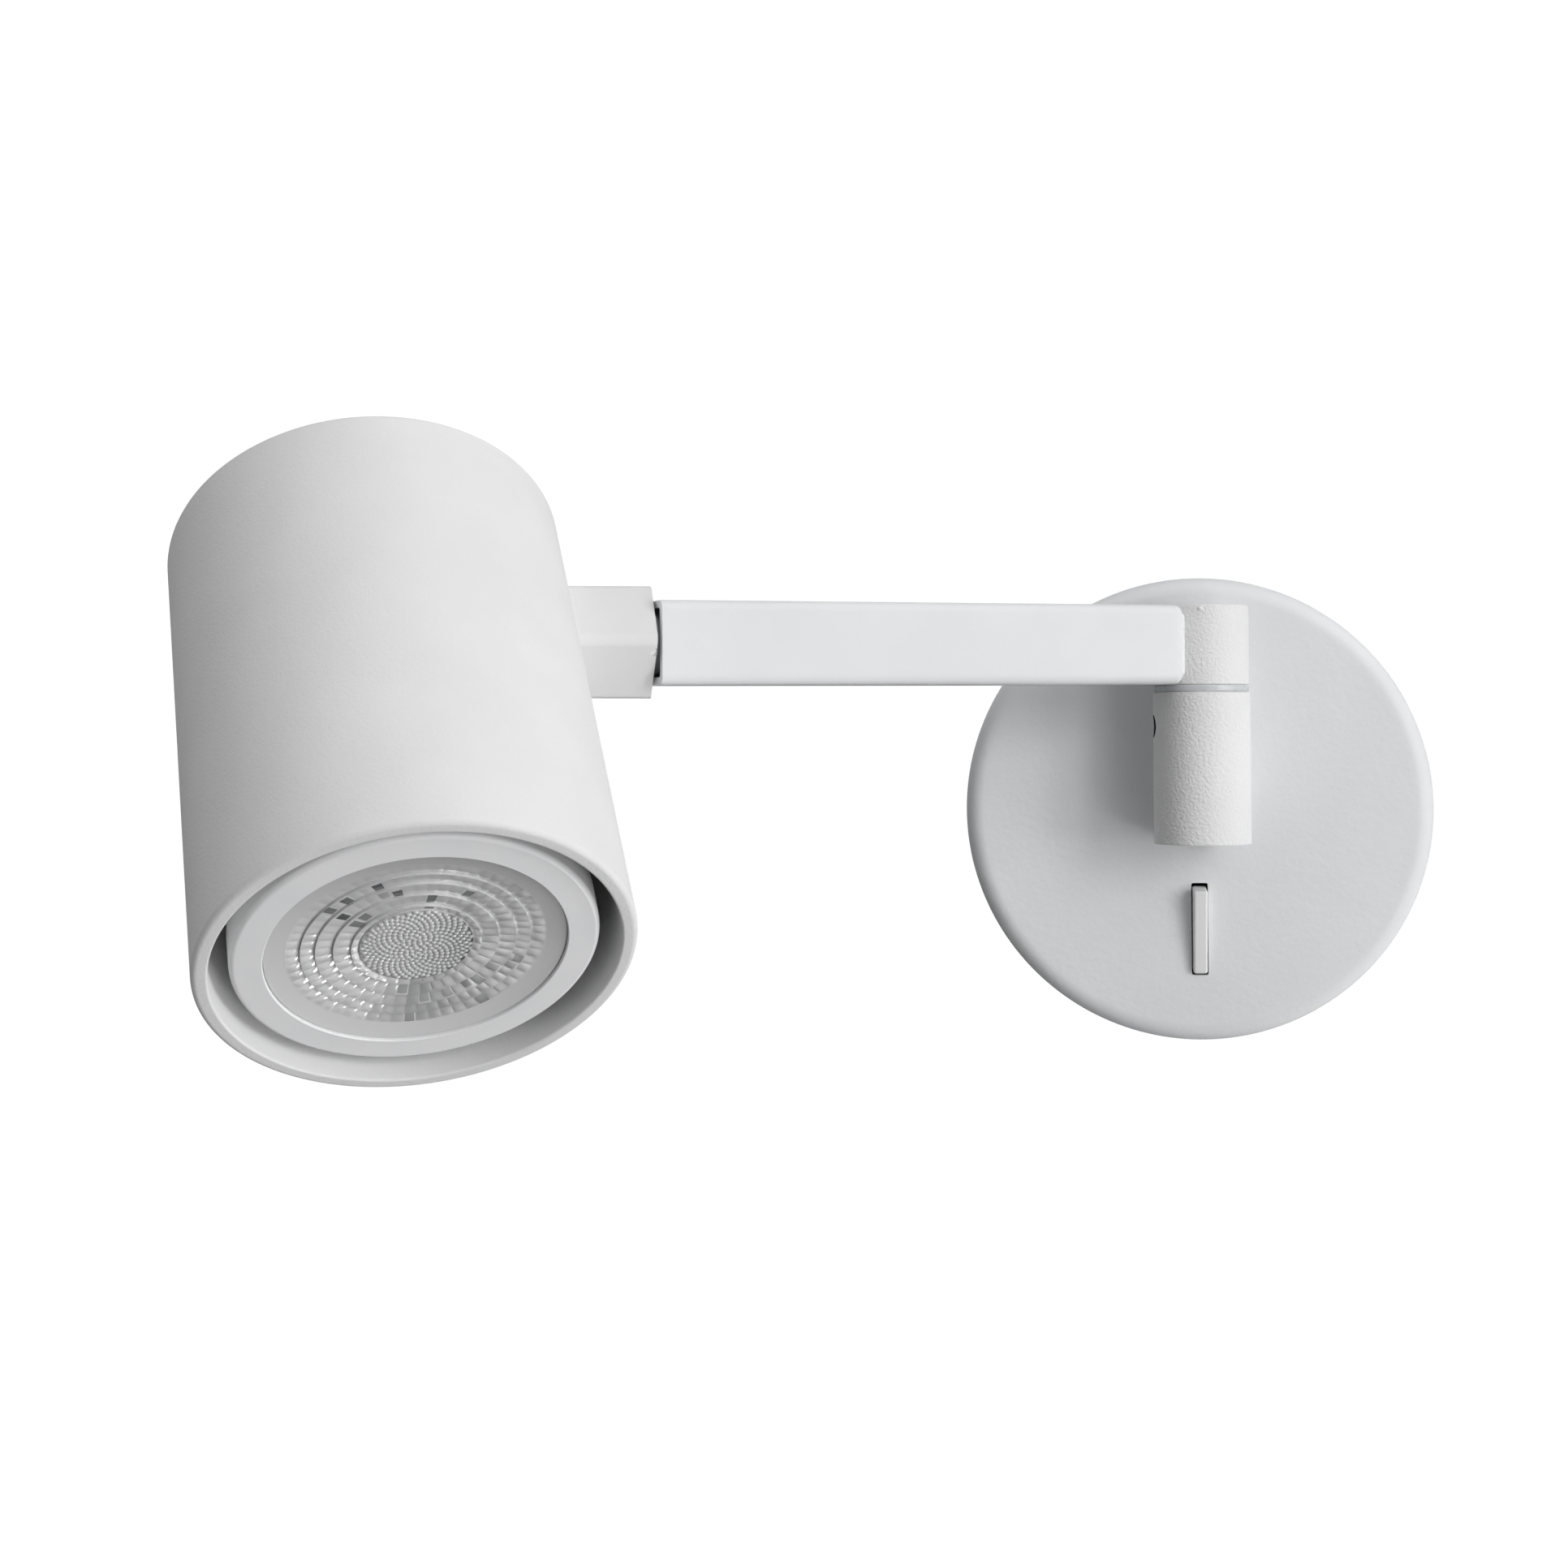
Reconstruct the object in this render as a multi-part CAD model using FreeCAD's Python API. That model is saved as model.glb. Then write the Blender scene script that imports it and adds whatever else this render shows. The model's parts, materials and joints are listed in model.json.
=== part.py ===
import FreeCAD, Part
import math
import os

# Pivoting spotlight wall light, in millimetres.
# Row frame: X to the right along the wall, Y into the wall, Z up.
# The origin is the centre of the round canopy on the wall plane Y = 0, so the light stands in front at -Y.
# The arm is built along +X from the pivot axis, the head round its own Z axis, and both are then placed.

# How far a cut runs past the face that it opens
over = 1.0

# Wall bracket and canopy
canopy_d = 80.0
canopy_depth = 25.0
canopy_wall = 1.2
canopy_edge_r = 3.0
bracket_w = 20.0
bracket_t = 1.5
bracket_bend_r = 1.0
wing_margin = 1.5
wing_side = 0.5
wing_corner_r = 2.0
ear_depth = 10.0
ear_gap = 0.4
ear_inset = 2.0
slot_spacing = 50.0
slot_w = 4.5
slot_len = 9.0
cable_hole_d = 12.0
grommet_bore = 8.0
grommet_lip = 1.2
lock_screw_d = 3.0
lock_screw_len = 6.0
lock_screw_y = 5.5
lock_hole_play = 0.3
lock_sink = 0.5

# Terminal block and earth terminal on the bracket
block_w = 21.0
block_h = 16.0
block_t = 11.0
block_pitch = 6.6
block_from_hole = 6.0
block_corner_r = 0.6
wire_hole_d = 3.0
clamp_screw_d = 3.0
clamp_screw_len = 4.0
clamp_play = 0.1
clamp_sink = 0.6
driver_slot_w = 0.5
driver_slot_depth = 0.7
block_screw_d = 2.4
block_head_d = 3.8
block_head_h = 1.4
block_head_sink = 0.8
screw_tip_gap = 0.2
earth_x = -13.5
earth_screw_d = 4.0
earth_hub_d = 7.0
earth_hub_h = 2.0
earth_washer_t = 0.8
earth_head_d = 6.4
earth_head_h = 2.4
head_chamfer = 0.6

# Upright post in front of the canopy and the hollow stem that carries it
post_d = 16.2
post_bottom = -5.5
post_top = 20.0
post_gap = 1.0
post_boss_d = 12.0
post_edge_cut = 0.3
stem_z = 5.0
stem_d = 10.0
stem_bore = 7.0
stem_reach = 4.5
stem_washer_d = 17.0
stem_washer_t = 1.0
stem_nut_flats = 14.0
stem_nut_t = 3.5
stem_tail = 1.5
stem_hole_play = 0.15
washer_play = 0.1

# Swing pivot
spindle_d = 8.0
spindle_bore = 5.6
run_play = 0.05
spindle_in_post = 9.2
spindle_in_knuckle = 3.1
set_screw_z = 14.3
set_screw_d = 4.0
set_screw_sink = 0.6
set_tip_d = 2.6
set_tip_play = 0.15
groove_depth = 0.6
groove_w = 3.0
washer_t = 1.25
knuckle_proud = 1.3
cable_d = 4.2
cable_bend = 4.6
cable_seam_gap = 0.3
cable_room = 1.0
cable_overlap = 1.0

# Arm of square tube
tube_w = 13.2
tube_wall = 1.2
tube_corner_r = 1.6
arm_end = 95.6
butt_sink = 1.6
butt_edge_r = 1.0
spigot_len = 7.0
block_fit = 0.03
block_edge_r = 0.8

# Tilt swivel between arm and head
swivel_gap = 1.0
socket_sink = 3.0
socket_len = 10.0
swivel_d = 8.0
swivel_bore = 5.2
swivel_washer_t = 1.0
collar_play = 0.4
spring_washer_t = 0.8
spring_washer_inset = 0.3
friction_gap = 0.05
swivel_nut_t = 3.2
swivel_nut_play = 0.3
nut_slot_w = 1.2
nut_slot_depth = 1.2
swivel_tail = 1.5
plug_sink = 2.0
plug_len = 7.4
stub_len = 11.8
stub_corner_r = 1.2

# Head
head_d = 60.0
head_len = 77.8
head_wall = 2.2
head_back_t = 2.0
head_back_r = 1.0
rim_to_arm = 59.9
wire_port_d = 7.0
cable_in_head = 2.0
boss_d = 7.0
boss_y = 17.5
boss_h = 5.0
boss_root = 0.5

# Lamp with a twist-lock cap, 50 mm across its ring
lamp_sink = 1.8
lamp_d = 50.0
lamp_body_len = 47.0
lamp_rim_len = 5.5
lamp_rim_r = 0.8
lamp_heel_w = 1.2
lamp_heel_h = 0.8
lamp_waist_d = 44.0
lamp_waist_len = 16.0
lens_d = 41.0
lens_t = 3.0
lens_fit = 0.05
lens_sink = 0.4
lens_bevel = 0.8
lens_flange_d = 35.5
lens_eye_d = 16.0
lens_rings = 5
lens_step = 0.45
lamp_neck_d = 26.0
lamp_neck_len = 11.0
board_t = 1.6
board_d = 38.0
board_depth = 8.0
led_d = 12.0
led_t = 0.9
pin_pitch = 10.0
pin_d = 3.0
pin_len = 7.0
pin_head_d = 5.0
pin_head_len = 2.4

# Lamp holder
holder_gap = 0.3
holder_w = 17.0
holder_l = 27.0
holder_h = 15.0
holder_edge_r = 2.0
keyhole_play = 0.3
chamber_play = 0.2
twist_angle = 25.0
contact_t = 0.6
contact_gap = 0.1
holder_screw_d = 3.0
holder_screw_y = 10.4
holder_head_d = 5.1
holder_head_h = 2.0
holder_head_sink = 1.0
holder_well_play = 0.45
strap_w = 14.0
strap_t = 1.2
strap_play = 0.1
strap_head_d = 5.4
strap_head_h = 2.0
strap_tip_gap = 1.2
lead_d = 1.6
lead_pitch = 2.2
lead_rise = 10.8
lead_hole_play = 0.2
lead_run_out = 5.0
lead_run_in = 6.0

# Switch
switch_z = -21.0
slot_open_w = 2.8
slot_open_h = 15.8
slot_corner_r = 0.3
rocker_w = 2.4
rocker_h = 14.7
rocker_out = 2.0
rocker_tilt = 7.5
rocker_depth = 3.2
rocker_skirt = 0.3
rocker_heel_h = 4.1
rocker_edge_r = 0.5
pivot_sink = 2.2
rocker_pin_d = 1.2
switch_wall = 1.7
switch_body_h = 21.0
switch_body_t = 11.5
switch_corner_r = 0.8
switch_room = 0.9
clip_t = 0.8
clip_w = 9.0
clip_foot = 5.0
tab_w = 0.8
tab_h = 4.8
tab_len = 6.5
tab_eye_d = 1.6
tab_eye_in = 2.0
tab_gap = 0.4
receptacle_w = 3.2
receptacle_h = 6.2
receptacle_len = 5.6
receptacle_play = 0.05
switch_lead_bend = 2.6

# Pose of the rest position
swing_deg = 23.6
tilt_deg = 41.8

# Places and fits worked out from the values above
knuckle_d = tube_w + 2 * knuckle_proud
washer_d = knuckle_d
canopy_r = canopy_d / 2
canopy_in_r = canopy_r - canopy_wall
face_in_y = -(canopy_depth - canopy_wall)
pivot_y = -(canopy_depth + post_gap + max(post_d, knuckle_d) / 2)
knuckle_h = tube_w
arm_start = knuckle_d / 2 - butt_sink
arm_z = post_top + washer_t + knuckle_h / 2
ear_x = math.sqrt(canopy_in_r ** 2 - (bracket_w / 2) ** 2) - ear_gap
head_reach = arm_end + swivel_gap + stub_len + head_d / 2
stub_start = arm_end + swivel_gap - head_reach
inner_w = tube_w - 2 * tube_wall
collar_d = inner_w - 2 * collar_play
swivel_nut_d = inner_w - 2 * swivel_nut_play
head_r = head_d / 2
head_in_r = head_r - head_wall
rim_z = -rim_to_arm
back_z = head_len - rim_to_arm
boss_z = back_z - head_back_t - boss_h
lamp_front_z = rim_z + lamp_sink
lamp_end_z = lamp_front_z + lamp_body_len
holder_z = lamp_end_z + holder_gap
pin_end_z = lamp_end_z + pin_len
contact_z = pin_end_z + contact_gap
switch_y = -(canopy_depth - pivot_sink)
cable_seam_z = post_top - spindle_in_post + cable_overlap
lens_floor = lens_sink + lens_bevel

X_AXIS = FreeCAD.Vector(1, 0, 0)
Y_AXIS = FreeCAD.Vector(0, 1, 0)
Z_AXIS = FreeCAD.Vector(0, 0, 1)


def vec(x, y, z):
    return FreeCAD.Vector(x, y, z)


def cyl(radius, start, end):
    """Round bar between two points."""
    line = end.sub(start)
    return Part.makeCylinder(radius, line.Length, start, line)


def box(low, high):
    """Block between two corners."""
    size = high.sub(low)
    return Part.makeBox(size.x, size.y, size.z, low)


def ring(outer_r, inner_r, start, end):
    """Round bar with a bore right through it."""
    return cyl(outer_r, start, end).cut(cyl(inner_r, start, end))


def round_edges(solid, radius, chosen):
    """Fillet of the edges for which chosen(edge) is true."""
    edges = [edge for edge in solid.Edges if chosen(edge)]
    return solid.makeFillet(radius, edges)


def bevel_edges(solid, size, chosen):
    """Chamfer of the edges for which chosen(edge) is true."""
    edges = [edge for edge in solid.Edges if chosen(edge)]
    return solid.makeChamfer(size, edges)


def runs_along(edge, axis):
    """True for a straight edge that is parallel to the axis."""
    if not isinstance(edge.Curve, (Part.Line, Part.LineSegment)):
        return False
    return abs(abs(edge.tangentAt(edge.FirstParameter).dot(axis)) - 1) < 1e-6


def square_bar(width, corner_r, x_start, x_end):
    """Bar of rounded square section along X."""
    half = width / 2
    bar = box(vec(x_start, -half, -half), vec(x_end, half, half))
    return round_edges(bar, corner_r, lambda edge: runs_along(edge, X_AXIS))


def square_tube(width, wall, corner_r, x_start, x_end):
    """Square tube along X, whose bore follows its outer corners."""
    bore_r = max(corner_r - wall, 0.2 * wall)
    outside = square_bar(width, corner_r, x_start, x_end)
    return outside.cut(square_bar(width - 2 * wall, bore_r, x_start, x_end))


def hex_bar(flats, start, end):
    """Hexagon bar along Y between two heights, flats upward."""
    corner = flats / math.sqrt(3)
    points = []
    for turn in range(7):
        angle = math.radians(60 * turn)
        points.append(vec(corner * math.cos(angle), start.y, start.z + corner * math.sin(angle)))
    face = Part.Face(Part.makePolygon(points))
    return face.extrude(end.sub(start))


def hex_socket(flats, start, inward):
    """Hexagon recess of a level socket screw, from its mouth inward."""
    corner = flats / math.sqrt(3)
    side = inward.cross(Z_AXIS)
    side.normalize()
    points = []
    for turn in range(7):
        angle = math.radians(60 * turn)
        points.append(start + side * (corner * math.cos(angle)) + Z_AXIS * (corner * math.sin(angle)))
    return Part.Face(Part.makePolygon(points)).extrude(inward)


def bend_path(points):
    """Straight runs joined by tangent arcs, as large as the shorter run at each bend allows."""
    edges = []
    last = points[0]
    for before, corner, after in zip(points, points[1:], points[2:]):
        back = before.sub(corner)
        ahead = after.sub(corner)
        run = min(back.Length, ahead.Length)
        back.normalize()
        ahead.normalize()
        trim = 0.45 * run
        start = corner + back * trim
        end = corner + ahead * trim
        bisector = back.add(ahead)
        bisector.normalize()
        half_angle = math.acos(max(-1.0, min(1.0, back.dot(bisector))))
        to_centre = trim / math.cos(half_angle)
        radius = trim * math.tan(half_angle)
        middle = corner + bisector * (to_centre - radius)
        edges.append(Part.LineSegment(last, start).toShape())
        edges.append(Part.Arc(start, middle, end).toShape())
        last = end
    edges.append(Part.LineSegment(last, points[-1]).toShape())
    return Part.Wire(edges)


def elbow_path(start, corner, end, radius):
    """Two straight runs at a right angle with one arc of the given radius."""
    back = start.sub(corner)
    ahead = end.sub(corner)
    back.normalize()
    ahead.normalize()
    first = corner + back * radius
    second = corner + ahead * radius
    inward = back.add(ahead)
    inward.normalize()
    middle = corner + inward * (radius * (math.sqrt(2) - 1))
    edges = [
        Part.LineSegment(start, first).toShape(),
        Part.Arc(first, middle, second).toShape(),
        Part.LineSegment(second, end).toShape(),
    ]
    return edges


def sleeve(path, diameter):
    """Round lead that follows a path of runs and arcs."""
    first = path.OrderedEdges[0]
    start = first.valueAt(first.FirstParameter)
    heading = first.tangentAt(first.FirstParameter)
    if path.OrderedVertexes[0].Point.sub(start).Length > 1e-6:
        start = first.valueAt(first.LastParameter)
        heading = heading * -1
    circle = Part.Wire(Part.Circle(start, heading, diameter / 2).toShape())
    return path.makePipeShell([circle], True, False)


def place_arm(shape):
    """From the arm's own frame to the row frame: swung out from the wall at the height of the arm."""
    placed = shape.copy()
    placed.rotate(vec(0, 0, 0), Z_AXIS, 180 + swing_deg)
    placed.translate(vec(0, pivot_y, arm_z))
    return placed


def place_head(shape):
    """From the head's own frame to the row frame: tilted about the arm, at the arm's far end."""
    placed = shape.copy()
    placed.rotate(vec(0, 0, 0), X_AXIS, tilt_deg)
    placed.translate(vec(head_reach, 0, 0))
    return place_arm(placed)


def bracket_outline():
    """Flat crossbar with a wing for the terminal block above the cable hole."""
    half = bracket_w / 2
    bar = box(vec(-ear_x, -bracket_t, -half), vec(ear_x, 0, half))
    wing_half = block_w / 2 + wing_side
    wing_top = block_low_z() + block_h + wing_margin
    wing = box(vec(-wing_half, -bracket_t, 0), vec(wing_half, 0, wing_top))
    wing = round_edges(wing, wing_corner_r,
                       lambda edge: runs_along(edge, Y_AXIS) and edge.CenterOfMass.z > half)
    return bar.fuse(wing)


def mounting_bracket():
    """Pressed crossbar: two wall slots, cable hole, raised earth hub and two ears for the lock screws."""
    half = bracket_w / 2
    body = bracket_outline()
    for side in (-1, 1):
        low_x = min(side * ear_x, side * (ear_x - bracket_t))
        ear = box(vec(low_x, -ear_depth, ear_inset - half), vec(low_x + bracket_t, 0, half - ear_inset))
        body = body.fuse(ear)
    body = body.fuse(cyl(earth_hub_d / 2, vec(earth_x, 0, 0), vec(earth_x, -bracket_t - earth_hub_h, 0)))
    body = body.removeSplitter()
    body = round_edges(body, bracket_bend_r, lambda edge: runs_along(edge, Z_AXIS)
                       and abs(edge.CenterOfMass.y) < 1e-6 and abs(edge.CenterOfMass.x) > ear_x - 0.1)
    for side in (-1, 1):
        middle = side * slot_spacing / 2
        run = (slot_len - slot_w) / 2
        cut = box(vec(middle - run, -bracket_t - over, -slot_w / 2), vec(middle + run, over, slot_w / 2))
        for end in (-run, run):
            cut = cut.fuse(cyl(slot_w / 2, vec(middle + end, -bracket_t - over, 0), vec(middle + end, over, 0)))
        body = body.cut(cut)
        tip = vec(side * canopy_r, -lock_screw_y, 0)
        body = body.cut(cyl(lock_screw_d / 2, vec(0, -lock_screw_y, 0), tip))
    body = body.cut(cyl(cable_hole_d / 2, vec(0, -bracket_t - over, 0), vec(0, over, 0)))
    hub_face = -bracket_t - earth_hub_h
    body = body.cut(cyl(earth_screw_d / 2, vec(earth_x, hub_face - over, 0), vec(earth_x, over, 0)))
    for side in (-1, 1):
        x = side * block_pitch / 2
        start = vec(x, -bracket_t - over, block_mid_z())
        body = body.cut(cyl(block_screw_d / 2, start, vec(x, over, block_mid_z())))
    return body


def bracket_grommet():
    """Rubber ring that lines the cable hole, with a lip on the room side."""
    hole_r = cable_hole_d / 2
    lip_y = -bracket_t - grommet_lip
    bush = ring(hole_r, grommet_bore / 2, vec(0, 0, 0), vec(0, lip_y, 0))
    lip = ring(hole_r + grommet_lip, grommet_bore / 2, vec(0, -bracket_t, 0), vec(0, lip_y, 0))
    return bush.fuse(lip).removeSplitter()


def canopy():
    """Spun cup with a soft front edge, stem hole, switch slot and two lock screw holes."""
    out_r = canopy_edge_r
    in_cut = max(canopy_edge_r - canopy_wall, canopy_wall / 4)
    bend_y = -(canopy_depth - out_r)
    diag = math.sqrt(0.5)
    profile = [
        Part.LineSegment(vec(canopy_in_r, 0, 0), vec(canopy_r, 0, 0)),
        Part.LineSegment(vec(canopy_r, 0, 0), vec(canopy_r, bend_y, 0)),
        Part.Arc(vec(canopy_r, bend_y, 0),
                 vec(canopy_r - out_r + out_r * diag, bend_y - out_r * diag, 0),
                 vec(canopy_r - out_r, -canopy_depth, 0)),
        Part.LineSegment(vec(canopy_r - out_r, -canopy_depth, 0), vec(0, -canopy_depth, 0)),
        Part.LineSegment(vec(0, -canopy_depth, 0), vec(0, face_in_y, 0)),
        Part.LineSegment(vec(0, face_in_y, 0), vec(canopy_in_r - in_cut, face_in_y, 0)),
        Part.LineSegment(vec(canopy_in_r - in_cut, face_in_y, 0), vec(canopy_in_r, face_in_y + in_cut, 0)),
        Part.LineSegment(vec(canopy_in_r, face_in_y + in_cut, 0), vec(canopy_in_r, 0, 0)),
    ]
    face = Part.Face(Part.Wire([edge.toShape() for edge in profile]))
    cup = face.revolve(vec(0, 0, 0), Y_AXIS, 360)
    hole_r = stem_d / 2 + stem_hole_play
    cup = cup.cut(cyl(hole_r, vec(0, -canopy_depth - over, stem_z), vec(0, face_in_y + over, stem_z)))
    slot = box(vec(-slot_open_w / 2, -canopy_depth - over, switch_z - slot_open_h / 2),
               vec(slot_open_w / 2, face_in_y + over, switch_z + slot_open_h / 2))
    cup = cup.cut(round_edges(slot, slot_corner_r, lambda edge: runs_along(edge, Y_AXIS)))
    lock_r = lock_screw_d / 2 + lock_hole_play
    for side in (-1, 1):
        start = vec(side * (ear_x - over), -lock_screw_y, 0)
        cup = cup.cut(cyl(lock_r, start, vec(side * (canopy_r + over), -lock_screw_y, 0)))
    return cup


def canopy_set_screws():
    """Two socket set screws that back out of the ears into the canopy's holes."""
    screws = []
    for side in (-1, 1):
        mouth = vec(side * (canopy_r - lock_sink), -lock_screw_y, 0)
        tail = vec(side * (canopy_r - lock_sink - lock_screw_len), -lock_screw_y, 0)
        screw = cyl(lock_screw_d / 2, mouth, tail)
        socket = hex_socket(lock_screw_d / 2, mouth, vec(-side * lock_screw_len / 3, 0, 0))
        screws.append(screw.cut(socket))
    return Part.makeCompound(screws)


def block_low_z():
    return cable_hole_d / 2 + block_from_hole


def block_mid_z():
    return block_low_z() + block_h / 2


def terminal_block():
    """Moulded three-way block: barrels along Z with a screw well in front of each."""
    front = -bracket_t - block_t
    mid = block_mid_z()
    low = block_low_z()
    body = box(vec(-block_w / 2, front, low), vec(block_w / 2, -bracket_t, low + block_h))
    body = bevel_edges(body, block_corner_r, lambda edge: runs_along(edge, Z_AXIS))
    for pole in (-1, 0, 1):
        x = pole * block_pitch
        y = -bracket_t - block_t / 2
        body = body.cut(cyl(wire_hole_d / 2, vec(x, y, low - over), vec(x, y, low + block_h + over)))
        for rise in (-1, 1):
            z = mid + rise * block_h / 4
            body = body.cut(cyl(clamp_screw_d / 2 + clamp_play, vec(x, front - over, z), vec(x, y, z)))
    for side in (-1, 1):
        x = side * block_pitch / 2
        body = body.cut(cyl(block_screw_d / 2, vec(x, front - over, mid), vec(x, -bracket_t + over, mid)))
        well_floor = vec(x, front + block_head_sink + block_head_h, mid)
        body = body.cut(cyl(block_head_d / 2 + clamp_play, vec(x, front - over, mid), well_floor))
    return body


def terminal_screws():
    """Six slotted clamp screws, two to a pole."""
    front = -bracket_t - block_t
    screws = []
    for pole in (-1, 0, 1):
        for rise in (-1, 1):
            x = pole * block_pitch
            z = block_mid_z() + rise * block_h / 4
            top = front + clamp_sink
            screw = cyl(clamp_screw_d / 2, vec(x, top, z), vec(x, top + clamp_screw_len, z))
            half_slot = driver_slot_w / 2
            slot = box(vec(x - clamp_screw_d, front, z - half_slot),
                       vec(x + clamp_screw_d, top + driver_slot_depth, z + half_slot))
            screws.append(screw.cut(slot))
    return Part.makeCompound(screws)


def block_screws():
    """Two cheese-head screws that hold the block to the bracket's wing."""
    head_top = -bracket_t - block_t + block_head_sink
    mid = block_mid_z()
    screws = []
    for side in (-1, 1):
        x = side * block_pitch / 2
        seat = vec(x, head_top + block_head_h, mid)
        shank = cyl(block_screw_d / 2, seat, vec(x, -screw_tip_gap, mid))
        head = cyl(block_head_d / 2, vec(x, head_top, mid), seat)
        screws.append(shank.fuse(head).removeSplitter())
    return Part.makeCompound(screws)


def earth_screw():
    """Pan-head screw with its cup washer on the raised hub of the bracket."""
    hub_face = -bracket_t - earth_hub_h
    seat = hub_face - earth_washer_t
    washer = cyl(earth_hub_d / 2, vec(earth_x, hub_face, 0), vec(earth_x, seat, 0))
    head = cyl(earth_head_d / 2, vec(earth_x, seat, 0), vec(earth_x, seat - earth_head_h, 0))
    head = bevel_edges(head, head_chamfer, lambda edge: edge.CenterOfMass.y < seat - earth_head_h / 2)
    shank = cyl(earth_screw_d / 2, vec(earth_x, hub_face, 0), vec(earth_x, -screw_tip_gap, 0))
    return washer.fuse([head, shank]).removeSplitter()


def pivot_post():
    """Upright post, bored for the spindle and the cable, with a boss that meets the canopy."""
    radius = post_d / 2
    bore_r = spindle_d / 2 + run_play
    post = cyl(radius, vec(0, pivot_y, post_bottom), vec(0, pivot_y, post_top))
    post = bevel_edges(post, post_edge_cut, lambda edge: isinstance(edge.Curve, Part.Circle))
    boss = cyl(post_boss_d / 2, vec(0, pivot_y, stem_z), vec(0, -canopy_depth, stem_z))
    post = post.fuse(boss).removeSplitter()
    bore_floor = post_top - spindle_in_post - cable_seam_gap
    post = post.cut(cyl(bore_r, vec(0, pivot_y, bore_floor), vec(0, pivot_y, post_top + over)))
    post = post.cut(cyl(cable_d / 2 + cable_room, vec(0, pivot_y, stem_z), vec(0, pivot_y, post_top)))
    thread_end = vec(0, pivot_y + post_d / 2 - stem_reach, stem_z)
    post = post.cut(cyl(stem_d / 2, thread_end, vec(0, -canopy_depth + over, stem_z)))
    post = post.cut(cyl(stem_bore / 2, vec(0, pivot_y - cable_d / 2, stem_z), thread_end))
    return post.cut(cyl(set_screw_d / 2, vec(-post_d, pivot_y, set_screw_z), vec(0, pivot_y, set_screw_z)))


def post_set_screw():
    """Dog-point set screw whose tip runs in the spindle's groove."""
    groove_r = spindle_d / 2 - groove_depth
    mouth = vec(-post_d / 2 + set_screw_sink, pivot_y, set_screw_z)
    bore_r = spindle_d / 2 + run_play
    shoulder = vec(-bore_r - set_tip_play, pivot_y, set_screw_z)
    tip = vec(-groove_r - set_tip_play, pivot_y, set_screw_z)
    screw = cyl(set_screw_d / 2, mouth, shoulder).fuse(cyl(set_tip_d / 2, shoulder, tip)).removeSplitter()
    depth = 0.5 * shoulder.sub(mouth).Length
    return screw.cut(hex_socket(set_screw_d / 2, mouth, vec(depth, 0, 0)))


def post_stem():
    """Hollow threaded nipple from the post through the canopy."""
    start = vec(0, pivot_y + post_d / 2 - stem_reach, stem_z)
    end = vec(0, face_in_y + stem_washer_t + stem_nut_t + stem_tail, stem_z)
    return ring(stem_d / 2, stem_bore / 2, start, end)


def stem_washer():
    """Lock washer on the inner face of the canopy."""
    start = vec(0, face_in_y, stem_z)
    end = vec(0, face_in_y + stem_washer_t, stem_z)
    return ring(stem_washer_d / 2, stem_d / 2 + washer_play, start, end)


def stem_nut():
    """Hexagon nut on the nipple."""
    start = vec(0, face_in_y + stem_washer_t, stem_z)
    end = vec(0, face_in_y + stem_washer_t + stem_nut_t, stem_z)
    return hex_bar(stem_nut_flats, start, end).cut(cyl(stem_d / 2, start, end))


def base_cable():
    """Sleeved lead down the post, through the nipple and up to the terminal block."""
    block_y = -bracket_t - block_t / 2
    first = elbow_path(vec(0, pivot_y, cable_seam_z), vec(0, pivot_y, stem_z),
                       vec(0, block_y - cable_bend, stem_z), cable_bend)
    corner = vec(0, block_y, stem_z)
    rise = vec(0, block_y, stem_z + cable_bend)
    middle = corner + vec(0, -1, 1) * (cable_bend * (1 - math.sqrt(0.5)))
    second = [
        Part.Arc(vec(0, block_y - cable_bend, stem_z), middle, rise).toShape(),
        Part.LineSegment(rise, vec(0, block_y, block_low_z())).toShape(),
    ]
    return sleeve(Part.Wire(first + second), cable_d)


def rocker_profile():
    """Side view of the rocker about its pin: flat paddle in front, tapered heel behind."""
    half = rocker_h / 2
    front = -(pivot_sink + rocker_out)
    heel = rocker_heel_h / 2
    points = [(front, -half), (front, half), (rocker_skirt, half), (rocker_depth, heel),
              (rocker_depth, -heel), (rocker_skirt, -half), (front, -half)]
    return Part.makePolygon([vec(-rocker_w / 2, y, z) for y, z in points])


def switch_rocker():
    """Painted rocker paddle with soft corners, tipped so that its top stands out."""
    paddle = Part.Face(rocker_profile()).extrude(vec(rocker_w, 0, 0))
    front = -(pivot_sink + rocker_out)
    paddle = round_edges(paddle, rocker_edge_r, lambda edge: edge.CenterOfMass.y < 0.5 * front)
    paddle = paddle.cut(cyl(rocker_pin_d / 2 + run_play, vec(-rocker_w, 0, 0), vec(rocker_w, 0, 0)))
    paddle.rotate(vec(0, 0, 0), X_AXIS, rocker_tilt)
    paddle.translate(vec(0, switch_y, switch_z))
    return paddle


def switch_body():
    """Moulded body behind the slot, open in front for the rocker."""
    room_w = slot_open_w / 2
    half_w = room_w + switch_wall
    half_h = switch_body_h / 2
    back = face_in_y + switch_body_t
    body = box(vec(-half_w, face_in_y, switch_z - half_h), vec(half_w, back, switch_z + half_h))
    body = round_edges(body, switch_corner_r, lambda edge: runs_along(edge, Y_AXIS))
    room_h = rocker_h / 2 + switch_room
    room_back = switch_y + rocker_depth + switch_room
    body = body.cut(box(vec(-room_w, face_in_y - over, switch_z - room_h),
                        vec(room_w, room_back, switch_z + room_h)))
    return body.cut(cyl(rocker_pin_d / 2, vec(-half_w - over, switch_y, switch_z),
                        vec(half_w + over, switch_y, switch_z)))


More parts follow.
